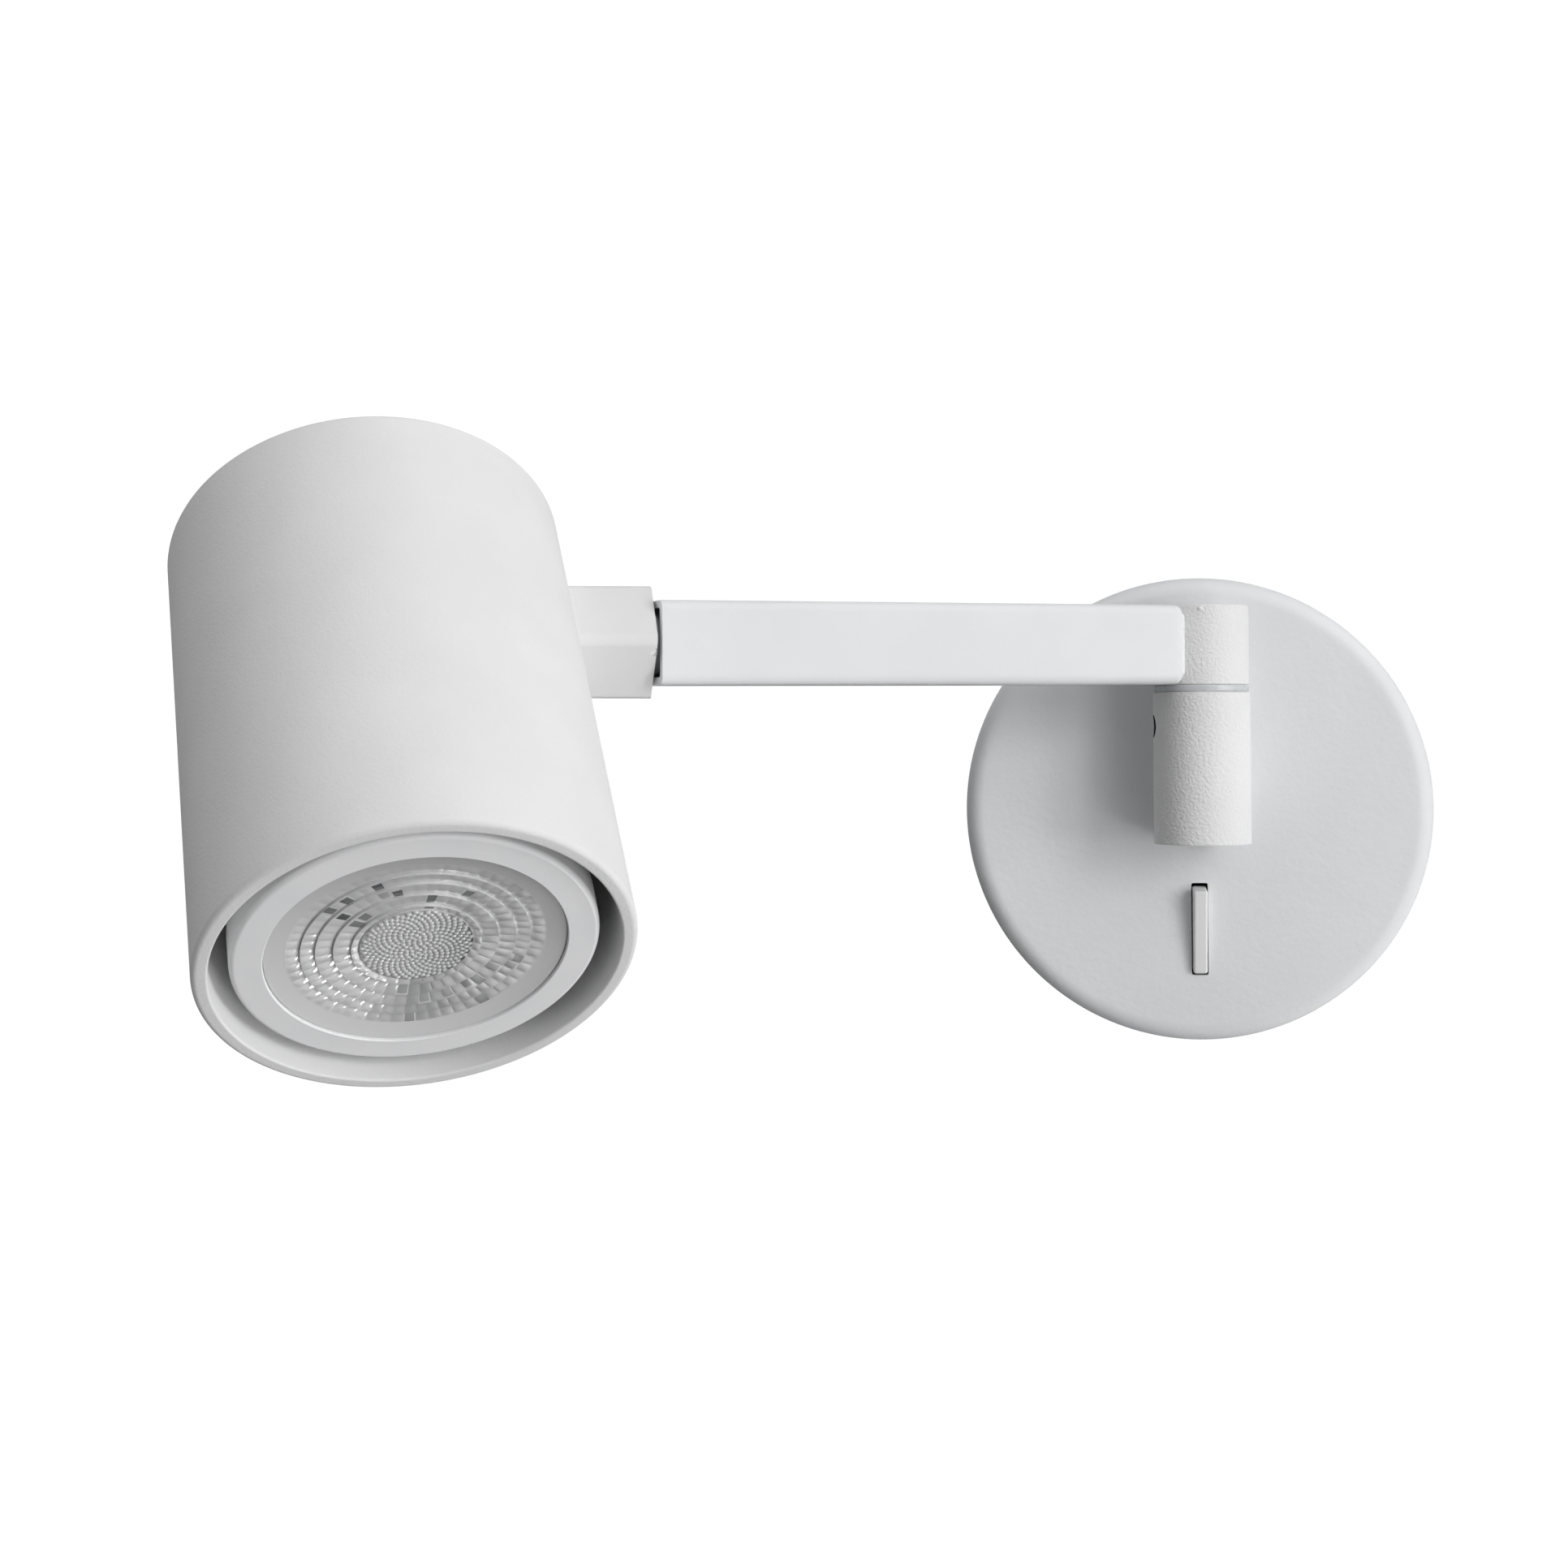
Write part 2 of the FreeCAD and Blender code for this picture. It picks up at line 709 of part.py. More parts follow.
def switch_pin():
    """Pivot pin of the rocker, held in the body's two side walls."""
    half_w = slot_open_w / 2 + switch_wall
    return cyl(rocker_pin_d / 2, vec(-half_w, switch_y, switch_z), vec(half_w, switch_y, switch_z))


def switch_clip():
    """Steel saddle spot-welded to the inner face of the canopy round the switch body."""
    half_w = slot_open_w / 2 + switch_wall
    back = face_in_y + switch_body_t
    low_z = switch_z - clip_w / 2
    high_z = switch_z + clip_w / 2
    outer = box(vec(-half_w - clip_t, face_in_y, low_z), vec(half_w + clip_t, back + clip_t, high_z))
    saddle = outer.cut(box(vec(-half_w, face_in_y, low_z), vec(half_w, back, high_z)))
    for side in (-1, 1):
        near = side * half_w
        far = side * (half_w + clip_t + clip_foot)
        foot = box(vec(min(near, far), face_in_y, low_z), vec(max(near, far), face_in_y + clip_t, high_z))
        saddle = saddle.fuse(foot)
    return saddle.removeSplitter()


def switch_terminals():
    """Two flat tabs out of the back of the switch, above and below the saddle."""
    back = face_in_y + switch_body_t
    eye_y = back + tab_len - tab_eye_in
    tabs = []
    for side in (-1, 1):
        z = tab_mid_z(side)
        tab = box(vec(-tab_w / 2, back, z - tab_h / 2), vec(tab_w / 2, back + tab_len, z + tab_h / 2))
        tabs.append(tab.cut(cyl(tab_eye_d / 2, vec(-tab_h, eye_y, z), vec(tab_h, eye_y, z))))
    return Part.makeCompound(tabs)


def tab_mid_z(side):
    """Middle of the upper or lower tab, clear of the saddle."""
    return switch_z + side * (clip_w / 2 + tab_gap + tab_h / 2)


def tab_receptacles():
    """Two insulated flag receptacles pushed on the tabs, whose leads leave sideways."""
    end = face_in_y + switch_body_t + tab_len + receptacle_play
    sleeves = []
    for side in (-1, 1):
        z = tab_mid_z(side)
        half_w = receptacle_w / 2
        half_h = receptacle_h / 2
        body = box(vec(-half_w, end - receptacle_len, z - half_h), vec(half_w, end + tab_w, z + half_h))
        half_w = tab_w / 2 + receptacle_play
        half_h = tab_h / 2 + receptacle_play
        room = box(vec(-half_w, end - tab_len, z - half_h), vec(half_w, end, z + half_h))
        sleeves.append(body.cut(room))
    return Part.makeCompound(sleeves)


def switch_leads():
    """Two insulated leads from the outer poles of the block down to the switch's tabs."""
    y = -bracket_t - block_t / 2
    leads = []
    for side in (-1, 1):
        x = side * block_pitch
        z = tab_mid_z(side)
        path = elbow_path(vec(side * receptacle_w / 2, y, z), vec(x, y, z), vec(x, y, block_low_z()),
                          switch_lead_bend)
        leads.append(sleeve(Part.Wire(path), lead_d))
    return Part.makeCompound(leads)


def pivot_washer():
    """Nylon bearing washer between post and knuckle."""
    start = vec(0, pivot_y, post_top)
    end = vec(0, pivot_y, post_top + washer_t)
    return ring(washer_d / 2, spindle_d / 2 + washer_play, start, end)


def pivot_spindle():
    """Hollow spindle pressed in the knuckle, grooved for the post's set screw, in the arm's frame."""
    top = vec(0, 0, -knuckle_h / 2 + spindle_in_knuckle)
    bottom = vec(0, 0, post_top - spindle_in_post - arm_z)
    spindle = ring(spindle_d / 2, spindle_bore / 2, bottom, top)
    middle = set_screw_z - arm_z
    low = vec(0, 0, middle - groove_w / 2)
    high = vec(0, 0, middle + groove_w / 2)
    return spindle.cut(ring(spindle_d, spindle_d / 2 - groove_depth, low, high))


def arm_knuckle():
    """Short barrel over the post, with a square spigot for the arm and bores for the spindle and the cable."""
    half = knuckle_h / 2
    room_r = cable_d / 2 + cable_room
    barrel = cyl(knuckle_d / 2, vec(0, 0, -half), vec(0, 0, half))
    barrel = bevel_edges(barrel, post_edge_cut, lambda edge: isinstance(edge.Curve, Part.Circle))
    spigot = square_bar(inner_w - 2 * block_fit, block_edge_r, 0, arm_start + spigot_len)
    knuckle = barrel.fuse(spigot).removeSplitter()
    knuckle = knuckle.cut(cyl(spindle_d / 2, vec(0, 0, -half - over), vec(0, 0, -half + spindle_in_knuckle)))
    knuckle = knuckle.cut(cyl(room_r, vec(0, 0, -half), vec(0, 0, room_r)))
    return knuckle.cut(cyl(room_r, vec(0, 0, 0), vec(arm_start + spigot_len + over, 0, 0)))


def arm_tube():
    """Square tube, butted to the knuckle with a rounded end edge and open at its far end."""
    bar = square_bar(tube_w, tube_corner_r, arm_start, arm_end)
    bar = round_edges(bar, butt_edge_r, lambda edge: edge.BoundBox.XMax < arm_start + 1e-6)
    bore_r = max(tube_corner_r - tube_wall, 0.2 * tube_wall)
    tube = bar.cut(square_bar(inner_w, bore_r, arm_start, arm_end))
    return tube.cut(cyl(knuckle_d / 2, vec(0, 0, -tube_w), vec(0, 0, tube_w)))


def socket_start():
    return arm_end - socket_sink - socket_len


def swivel_socket():
    """Block fixed in the end of the arm, bored for the tilt spindle."""
    start = socket_start()
    bar = square_bar(inner_w - 2 * block_fit, block_edge_r, start, start + socket_len)
    return bar.cut(cyl(swivel_d / 2 + run_play, vec(start, 0, 0), vec(start + socket_len, 0, 0)))


def swivel_spring_washer():
    """Spring washer that gives the tilt its friction."""
    end = vec(socket_start(), 0, 0)
    start = vec(socket_start() - spring_washer_t, 0, 0)
    return ring(swivel_nut_d / 2 - spring_washer_inset, swivel_d / 2 + washer_play, start, end)


def arm_cable():
    """Sleeved lead up the spindle, round the knuckle and along the arm to the tilt swivel."""
    low = vec(0, 0, cable_seam_z + cable_seam_gap - arm_z)
    path = elbow_path(low, vec(0, 0, 0), vec(socket_start() + socket_len, 0, 0), cable_bend)
    return sleeve(Part.Wire(path), cable_d)


def swivel_washer():
    """Nylon washer between the socket and the spindle's collar, in the head's frame."""
    x = socket_start() + socket_len - head_reach
    return ring(collar_d / 2, swivel_d / 2 + washer_play, vec(x, 0, 0), vec(x + swivel_washer_t, 0, 0))


def nut_start():
    return socket_start() - spring_washer_t - friction_gap - swivel_nut_t - head_reach


def plug_start():
    return stub_start + plug_sink


def swivel_spindle():
    """Hollow tilt spindle with its collar, fixed in the stub's plug."""
    start = nut_start() - swivel_tail
    collar = socket_start() + socket_len + swivel_washer_t - head_reach
    end = plug_start() + plug_len
    spindle = cyl(swivel_d / 2, vec(start, 0, 0), vec(end, 0, 0))
    spindle = spindle.fuse(cyl(collar_d / 2, vec(collar, 0, 0), vec(plug_start(), 0, 0))).removeSplitter()
    return spindle.cut(cyl(swivel_bore / 2, vec(start, 0, 0), vec(end, 0, 0)))


def swivel_nut():
    """Round slotted nut that keeps the tilt spindle in the arm."""
    start = nut_start()
    end = start + swivel_nut_t
    nut = ring(swivel_nut_d / 2, swivel_d / 2, vec(start, 0, 0), vec(end, 0, 0))
    half_slot = nut_slot_w / 2
    slot = box(vec(start, -swivel_nut_d, -half_slot), vec(start + nut_slot_depth, swivel_nut_d, half_slot))
    return nut.cut(slot)


def stub_plug():
    """Block fixed in the end of the stub."""
    start = plug_start()
    bar = square_bar(inner_w - 2 * block_fit, block_edge_r, start, start + plug_len)
    return bar.cut(cyl(swivel_d / 2, vec(start, 0, 0), vec(start + plug_len, 0, 0)))


def head_stub():
    """Short square tube, coped and welded to the side of the head."""
    tube = square_tube(tube_w, tube_wall, stub_corner_r, stub_start, 0)
    return tube.cut(cyl(head_r, vec(0, 0, -head_d), vec(0, 0, head_d)))


def head_cable():
    """Sleeved lead through the tilt spindle and the stub into the head."""
    start = socket_start() + socket_len + cable_seam_gap - head_reach
    return cyl(cable_d / 2, vec(start, 0, 0), vec(cable_in_head - head_in_r, 0, 0))


def head_housing():
    """Round housing: open rounded rim in front, closed back with a small edge radius."""
    lip_r = head_wall / 2
    lip_z = rim_z + lip_r
    floor_z = back_z - head_back_t
    diag = math.sqrt(0.5)
    profile = [
        Part.Arc(vec(head_r, 0, lip_z), vec(head_r - lip_r, 0, rim_z), vec(head_in_r, 0, lip_z)),
        Part.LineSegment(vec(head_in_r, 0, lip_z), vec(head_in_r, 0, floor_z)),
        Part.LineSegment(vec(head_in_r, 0, floor_z), vec(0, 0, floor_z)),
        Part.LineSegment(vec(0, 0, floor_z), vec(0, 0, back_z)),
        Part.LineSegment(vec(0, 0, back_z), vec(head_r - head_back_r, 0, back_z)),
        Part.Arc(vec(head_r - head_back_r, 0, back_z),
                 vec(head_r - head_back_r * (1 - diag), 0, back_z - head_back_r * (1 - diag)),
                 vec(head_r, 0, back_z - head_back_r)),
        Part.LineSegment(vec(head_r, 0, back_z - head_back_r), vec(head_r, 0, lip_z)),
    ]
    face = Part.Face(Part.Wire([edge.toShape() for edge in profile]))
    shell = face.revolve(vec(0, 0, 0), Z_AXIS, 360)
    for side in (-1, 1):
        root = vec(0, side * boss_y, floor_z + boss_root)
        boss = cyl(boss_d / 2, vec(0, side * boss_y, boss_z), root)
        shell = shell.fuse(boss)
    shell = shell.removeSplitter()
    for side in (-1, 1):
        tip = vec(0, side * boss_y, floor_z - boss_root)
        shell = shell.cut(cyl(holder_screw_d / 2, vec(0, side * boss_y, boss_z - over), tip))
    return shell.cut(cyl(wire_port_d / 2, vec(-head_d, 0, 0), vec(-head_in_r / 2, 0, 0)))


def strap_leg_y():
    """Inner face of the strap's legs, clear of the holder's end."""
    return boss_y - boss_d / 2 - strap_t


def holder_bracket():
    """Hat-shaped strap between the bosses of the housing and the back of the lamp holder."""
    half = strap_w / 2
    low = holder_z + holder_h
    leg = strap_leg_y()
    flange_end = boss_y + boss_d / 2
    strap = box(vec(-half, -leg - strap_t, low), vec(half, leg + strap_t, low + strap_t))
    for side in (-1, 1):
        near = side * leg
        far = side * (leg + strap_t)
        riser = box(vec(-half, min(near, far), low), vec(half, max(near, far), boss_z))
        end = side * flange_end
        flange = box(vec(-half, min(near, end), boss_z - strap_t), vec(half, max(near, end), boss_z))
        strap = strap.fuse([riser, flange])
    strap = strap.removeSplitter()
    for side in (-1, 1):
        hole = vec(0, side * boss_y, boss_z - strap_t - over)
        strap = strap.cut(cyl(holder_screw_d / 2 + strap_play, hole, hole.add(vec(0, 0, strap_t + 2 * over))))
        fix = vec(0, side * holder_screw_offset(), low - over)
        strap = strap.cut(cyl(holder_screw_d / 2, fix, fix.add(vec(0, 0, strap_t + 2 * over))))
    return strap


def holder_screw_offset():
    """Screws of the holder stand clear inside the strap's legs."""
    return min(holder_screw_y, strap_leg_y() - holder_screw_d / 2 - holder_gap)


def bracket_screws():
    """Two pan-head screws through the strap's flanges into the bosses."""
    screws = []
    for side in (-1, 1):
        seat = vec(0, side * boss_y, boss_z - strap_t)
        head = cyl(strap_head_d / 2, seat, seat.add(vec(0, 0, -strap_head_h)))
        head = bevel_edges(head, head_chamfer, lambda edge: edge.CenterOfMass.z < seat.z - strap_head_h / 2)
        shank = cyl(holder_screw_d / 2, seat, seat.add(vec(0, 0, strap_t + boss_h - strap_tip_gap)))
        screws.append(head.fuse(shank).removeSplitter())
    return Part.makeCompound(screws)


def arc_slot(width, z_low, z_high, side):
    """Curved slot for one stud of the cap, from its entry to its locked place."""
    radius = pin_pitch / 2
    start_angle = 90 * side
    slot = None
    for angle in (0, twist_angle):
        turn = math.radians(start_angle + angle)
        centre = vec(radius * math.cos(turn), radius * math.sin(turn), z_low)
        bar = cyl(width / 2, centre, centre.add(vec(0, 0, z_high - z_low)))
        slot = bar if slot is None else slot.fuse(bar)
    section = Part.makePolygon([vec(radius - width / 2, 0, z_low), vec(radius + width / 2, 0, z_low),
                                vec(radius + width / 2, 0, z_high), vec(radius - width / 2, 0, z_high),
                                vec(radius - width / 2, 0, z_low)])
    sweep = Part.Face(section).revolve(vec(0, 0, 0), Z_AXIS, twist_angle)
    sweep.rotate(vec(0, 0, 0), Z_AXIS, start_angle)
    return slot.fuse(sweep)


def lamp_holder():
    """Ceramic twist-lock holder: two keyholes with wider chambers behind them."""
    half_w = holder_w / 2
    half_l = holder_l / 2
    body = box(vec(-half_w, -half_l, holder_z), vec(half_w, half_l, holder_z + holder_h))
    body = round_edges(body, holder_edge_r, lambda edge: runs_along(edge, Z_AXIS))
    chamber_z = pin_end_z - pin_head_len - chamber_play
    floor_z = contact_z + contact_t
    for side in (-1, 1):
        neck = arc_slot(pin_d + 2 * keyhole_play, holder_z - over, chamber_z + chamber_play, side)
        chamber = arc_slot(pin_head_d + 2 * keyhole_play, chamber_z, floor_z, side)
        turn = math.radians(90 * side + twist_angle)
        entry = vec(pin_pitch / 2 * math.cos(turn), pin_pitch / 2 * math.sin(turn), holder_z - over)
        mouth = cyl(pin_head_d / 2 + keyhole_play, entry, vec(entry.x, entry.y, floor_z))
        body = body.cut(neck).cut(chamber).cut(mouth)
        y = side * holder_screw_offset()
        body = body.cut(cyl(holder_screw_d / 2, vec(0, y, holder_z - over), vec(0, y, holder_z + holder_h + over)))
        well_r = holder_head_d / 2 + holder_well_play
        body = body.cut(cyl(well_r, vec(0, y, holder_z - over), vec(0, y, holder_seat_z())))
        lead_y = side * pin_pitch / 2
        lead_r = lead_d / 2 + lead_hole_play
        body = body.cut(cyl(lead_r, vec(-holder_w, lead_y, lead_z()), vec(0, lead_y, lead_z())))
        tail = box(vec(-lead_d / 2, lead_y - lead_d / 2, contact_z),
                   vec(lead_d / 2, lead_y + lead_d / 2, lead_z() + lead_d))
        body = body.cut(tail)
    return body


def lead_z():
    """Height of the leads where they enter the holder."""
    return holder_z + lead_rise


def holder_seat_z():
    """Height of the seats of the holder's screw heads."""
    return holder_z + holder_head_sink + holder_head_h


def holder_contacts():
    """Two contacts: a disc for the stud's head and a tail for the lead."""
    floor_z = contact_z + contact_t
    contacts = []
    for side in (-1, 1):
        y = side * pin_pitch / 2
        disc = cyl(pin_head_d / 2, vec(0, y, contact_z), vec(0, y, floor_z))
        tail = box(vec(-lead_d / 2, y - lead_d / 2, contact_z),
                   vec(lead_d / 2, y + lead_d / 2, lead_z() + lead_d))
        contacts.append(disc.fuse(tail).removeSplitter())
    return Part.makeCompound(contacts)


def holder_screws():
    """Two screws that hold the ceramic to the strap."""
    screws = []
    for side in (-1, 1):
        y = side * holder_screw_offset()
        seat = vec(0, y, holder_seat_z())
        head = cyl(holder_head_d / 2, vec(0, y, holder_z + holder_head_sink), seat)
        shank = cyl(holder_screw_d / 2, seat, vec(0, y, holder_z + holder_h + strap_t))
        screws.append(head.fuse(shank).removeSplitter())
    return Part.makeCompound(screws)


def head_leads():
    """Two insulated leads from the end of the sleeve to the holder's contacts."""
    leads = []
    for side in (-1, 1):
        y = side * pin_pitch / 2
        near = side * lead_pitch / 2
        points = [
            vec(-lead_d / 2, y, lead_z()),
            vec(-holder_w / 2 - lead_run_out, y, lead_z()),
            vec(-head_in_r + cable_in_head + lead_run_in, near, 0),
            vec(-head_in_r + cable_in_head, near, 0),
        ]
        leads.append(sleeve(bend_path(points), lead_d))
    return Part.makeCompound(leads)


def lamp_housing():
    """Lamp body: white ring, tapered shell and round neck, with a pocket for the lens and board."""
    ring_r = lamp_d / 2
    neck_r = lamp_neck_d / 2
    waist_r = lamp_waist_d / 2
    z0 = lamp_front_z
    heel_z = z0 + lamp_rim_len + lamp_heel_h
    taper_end = lamp_end_z - lamp_neck_len
    lens_r = lens_d / 2 + lens_fit
    floor_z = z0 + board_depth
    board_r = board_d / 2 + lens_fit
    diag = math.sqrt(0.5)
    outline = [
        Part.LineSegment(vec(lens_r, 0, z0), vec(ring_r - lamp_rim_r, 0, z0)),
        Part.Arc(vec(ring_r - lamp_rim_r, 0, z0),
                 vec(ring_r - lamp_rim_r * (1 - diag), 0, z0 + lamp_rim_r * (1 - diag)),
                 vec(ring_r, 0, z0 + lamp_rim_r)),
        Part.LineSegment(vec(ring_r, 0, z0 + lamp_rim_r), vec(ring_r, 0, z0 + lamp_rim_len)),
        Part.LineSegment(vec(ring_r, 0, z0 + lamp_rim_len), vec(ring_r - lamp_heel_w, 0, heel_z)),
        Part.LineSegment(vec(ring_r - lamp_heel_w, 0, heel_z), vec(waist_r, 0, z0 + lamp_waist_len)),
        Part.LineSegment(vec(waist_r, 0, z0 + lamp_waist_len), vec(neck_r, 0, taper_end)),
        Part.LineSegment(vec(neck_r, 0, taper_end), vec(neck_r, 0, lamp_end_z)),
        Part.LineSegment(vec(neck_r, 0, lamp_end_z), vec(0, 0, lamp_end_z)),
        Part.LineSegment(vec(0, 0, lamp_end_z), vec(0, 0, floor_z)),
        Part.LineSegment(vec(0, 0, floor_z), vec(board_r, 0, floor_z)),
        Part.LineSegment(vec(board_r, 0, floor_z), vec(board_r, 0, z0 + lens_t)),
        Part.LineSegment(vec(board_r, 0, z0 + lens_t), vec(lens_r, 0, z0 + lens_t)),
        Part.LineSegment(vec(lens_r, 0, z0 + lens_t), vec(lens_r, 0, z0)),
    ]
    face = Part.Face(Part.Wire([edge.toShape() for edge in outline]))
    return face.revolve(vec(0, 0, 0), Z_AXIS, 360)


def lamp_lens():
    """Clear lens: smooth bevelled flange, stepped rings and a round eye in the middle."""
    z0 = lamp_front_z
    back = z0 + lens_t
    flange_r = lens_flange_d / 2
    eye_r = lens_eye_d / 2
    ring_w = (flange_r - eye_r) / lens_rings
    low = z0 + lens_floor
    points = [(0, back), (lens_d / 2, back), (lens_d / 2, z0 + lens_sink), (flange_r, low)]
    for step in range(lens_rings):
        outer = flange_r - step * ring_w
        points.append((outer, low + lens_step))
        points.append((outer - ring_w, low))
    points.append((eye_r, low + lens_step))
    points.append((0, low + lens_step))
    points.append((0, back))
    face = Part.Face(Part.makePolygon([vec(r, 0, z) for r, z in points]))
    return face.revolve(vec(0, 0, 0), Z_AXIS, 360)


def lamp_board():
    """Round board with the light source in its middle."""
    back = lamp_front_z + board_depth
    return cyl(board_d / 2, vec(0, 0, back - board_t), vec(0, 0, back))


def lamp_led():
    """Round light source on the board, under the lens."""
    seat = lamp_front_z + board_depth - board_t
    return cyl(led_d / 2, vec(0, 0, seat - led_t), vec(0, 0, seat))


def lamp_pins():
    """Two studs of the twist-lock cap: a neck and a wider head each."""
    pins = []
    for side in (-1, 1):
        y = side * pin_pitch / 2
        neck = cyl(pin_d / 2, vec(0, y, lamp_end_z), vec(0, y, pin_end_z - pin_head_len))
        head = cyl(pin_head_d / 2, vec(0, y, pin_end_z - pin_head_len), vec(0, y, pin_end_z))
        pins.append(neck.fuse(head).removeSplitter())
    return Part.makeCompound(pins)


BASE_PIECES = {
    "mounting_bracket": mounting_bracket,
    "bracket_grommet": bracket_grommet,
    "terminal_block": terminal_block,
    "terminal_screws": terminal_screws,
    "block_screws": block_screws,
    "earth_screw": earth_screw,
    "canopy": canopy,
    "canopy_set_screws": canopy_set_screws,
    "pivot_post": pivot_post,
    "post_set_screw": post_set_screw,
    "post_stem": post_stem,
    "stem_washer": stem_washer,
    "stem_nut": stem_nut,
    "base_cable": base_cable,
    "switch_body": switch_body,
    "switch_clip": switch_clip,
    "switch_pin": switch_pin,
    "switch_terminals": switch_terminals,
    "tab_receptacles": tab_receptacles,
    "switch_leads": switch_leads,
    "switch_rocker": switch_rocker,
    "pivot_washer": pivot_washer,
}

ARM_PIECES = {
    "pivot_spindle": pivot_spindle,
    "arm_knuckle": arm_knuckle,
    "arm_tube": arm_tube,
    "swivel_socket": swivel_socket,
    "swivel_spring_washer": swivel_spring_washer,
    "arm_cable": arm_cable,
}

HEAD_PIECES = {
    "swivel_washer": swivel_washer,
    "swivel_spindle": swivel_spindle,
    "swivel_nut": swivel_nut,
    "stub_plug": stub_plug,
    "head_stub": head_stub,
    "head_cable": head_cable,
    "head_housing": head_housing,
    "holder_bracket": holder_bracket,
    "bracket_screws": bracket_screws,
    "lamp_holder": lamp_holder,
    "holder_contacts": holder_contacts,
    "holder_screws": holder_screws,
    "head_leads": head_leads,
    "lamp_housing": lamp_housing,
    "lamp_lens": lamp_lens,
    "lamp_board": lamp_board,
    "lamp_led": lamp_led,
    "lamp_pins": lamp_pins,
}


def save(name, shape):
    shape.exportStep(os.path.join("parts", name + ".step"))
    print(name, "solids", len(shape.Solids), "volume", round(shape.Volume, 2), "valid", shape.isValid())


os.makedirs("parts", exist_ok=True)
for name, make in BASE_PIECES.items():
    save(name, make())
for name, make in ARM_PIECES.items():
    save(name, place_arm(make()))
for name, make in HEAD_PIECES.items():
    save(name, place_head(make()))
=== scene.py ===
# %% [markdown]
# A pivoting spotlight wall light, built up as a lesson.
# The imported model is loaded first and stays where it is: it gives every size, place and joint axis.
# Each later cell then makes one piece or one finish of the lamp round that fixed frame.

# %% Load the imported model
import json
import math
import random

import bmesh
import bpy
from mathutils import Matrix, Vector


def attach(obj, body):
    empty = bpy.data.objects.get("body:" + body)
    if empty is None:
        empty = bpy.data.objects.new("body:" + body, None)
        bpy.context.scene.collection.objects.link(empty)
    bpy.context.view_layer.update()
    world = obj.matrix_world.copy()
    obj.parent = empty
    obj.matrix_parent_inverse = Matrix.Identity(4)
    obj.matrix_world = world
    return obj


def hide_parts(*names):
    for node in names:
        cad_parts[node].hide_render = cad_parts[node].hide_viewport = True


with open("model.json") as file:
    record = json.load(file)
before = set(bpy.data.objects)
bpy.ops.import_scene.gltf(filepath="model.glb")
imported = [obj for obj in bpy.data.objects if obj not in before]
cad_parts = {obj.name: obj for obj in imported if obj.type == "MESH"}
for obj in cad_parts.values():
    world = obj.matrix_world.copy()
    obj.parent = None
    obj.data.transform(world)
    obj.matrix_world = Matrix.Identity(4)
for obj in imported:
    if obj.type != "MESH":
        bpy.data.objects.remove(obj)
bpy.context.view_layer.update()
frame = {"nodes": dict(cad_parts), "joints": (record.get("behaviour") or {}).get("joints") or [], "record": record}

# %% [markdown]
# Sizes are easier to read in millimetres, while Blender counts in metres here.
# One factor turns the first into the second, and is used wherever a size is written down.
# The small helpers do what a hand does between two steps: select, enter edit mode, round some edges, leave.

# %% Units and small helpers
MM = 0.001
# A corner nearer than this to a place, in millimetres, counts as being there
TOUCH = 0.01
# A direction counts as one of the axes when this much of it points that way
NEARLY = 0.9


def only(piece):
    """Selects one object alone and makes it the active one."""
    bpy.ops.object.select_all(action="DESELECT")
    piece.select_set(True)
    bpy.context.view_layer.objects.active = piece


def settle(piece):
    """Moves an object's place, turn and size into its mesh."""
    only(piece)
    bpy.ops.object.transform_apply()


def edit(piece, mode):
    """Enters edit mode with nothing selected; mode is VERT, EDGE or FACE."""
    only(piece)
    bpy.ops.object.mode_set(mode="EDIT")
    bpy.ops.mesh.select_mode(type=mode)
    bpy.ops.mesh.select_all(action="DESELECT")


def choose(kind, wanted):
    """In edit mode, selects the verts, edges or faces for which wanted(element) is true."""
    data = bpy.context.edit_object.data
    mesh = bmesh.from_edit_mesh(data)
    count = 0
    for element in getattr(mesh, kind):
        if wanted(element):
            element.select_set(True)
            count += 1
    bmesh.update_edit_mesh(data)
    return count


def leave():
    """Back to object mode."""
    bpy.ops.object.mode_set(mode="OBJECT")


def middle(edge):
    """Middle point of an edge."""
    return (edge.verts[0].co + edge.verts[1].co) / 2


def runs_along(edge, axis):
    """True for an edge that runs along an axis: x, y or z."""
    way = (edge.verts[0].co - edge.verts[1].co).normalized()
    return abs(getattr(way, axis)) > NEARLY


def round_edges(piece, wanted, radius, segments):
    """Rounds the edges for which wanted(edge) is true; radius in millimetres."""
    edit(piece, "EDGE")
    found = choose("edges", wanted)
    bpy.ops.mesh.bevel(offset=radius * MM, segments=segments)
    leave()
    return found


def modifier(piece, kind, **settings):
    """Adds a modifier, sets it up and applies it."""
    only(piece)
    made = piece.modifiers.new(kind.title(), kind)
    for name, value in settings.items():
        setattr(made, name, value)
    bpy.ops.object.modifier_apply(modifier=made.name)


def cut(piece, cutter, operation="DIFFERENCE"):
    """Boolean of two closed meshes; the second one is used up."""
    modifier(piece, "BOOLEAN", object=cutter, operation=operation, solver="EXACT")
    bpy.data.objects.remove(cutter)


# %% [markdown]
# The lamp is made of turned pieces more than of anything else.
# A lathe is copied here: a half section is drawn corner by corner and spun about Z.
# Doubles are merged before the normals are recalculated, because a spin can leave a seam
# and turn a shape inside out.

# %% A lathe for turned pieces
DOUBLES_MM = 0.0001
# Steps of a full turn, for the pieces about as thick as the post
ROUND_STEPS = 128
# Distance of the extra ring beside a rounded edge, which keeps the shading of the flat next to it even
GUARD = 1.0


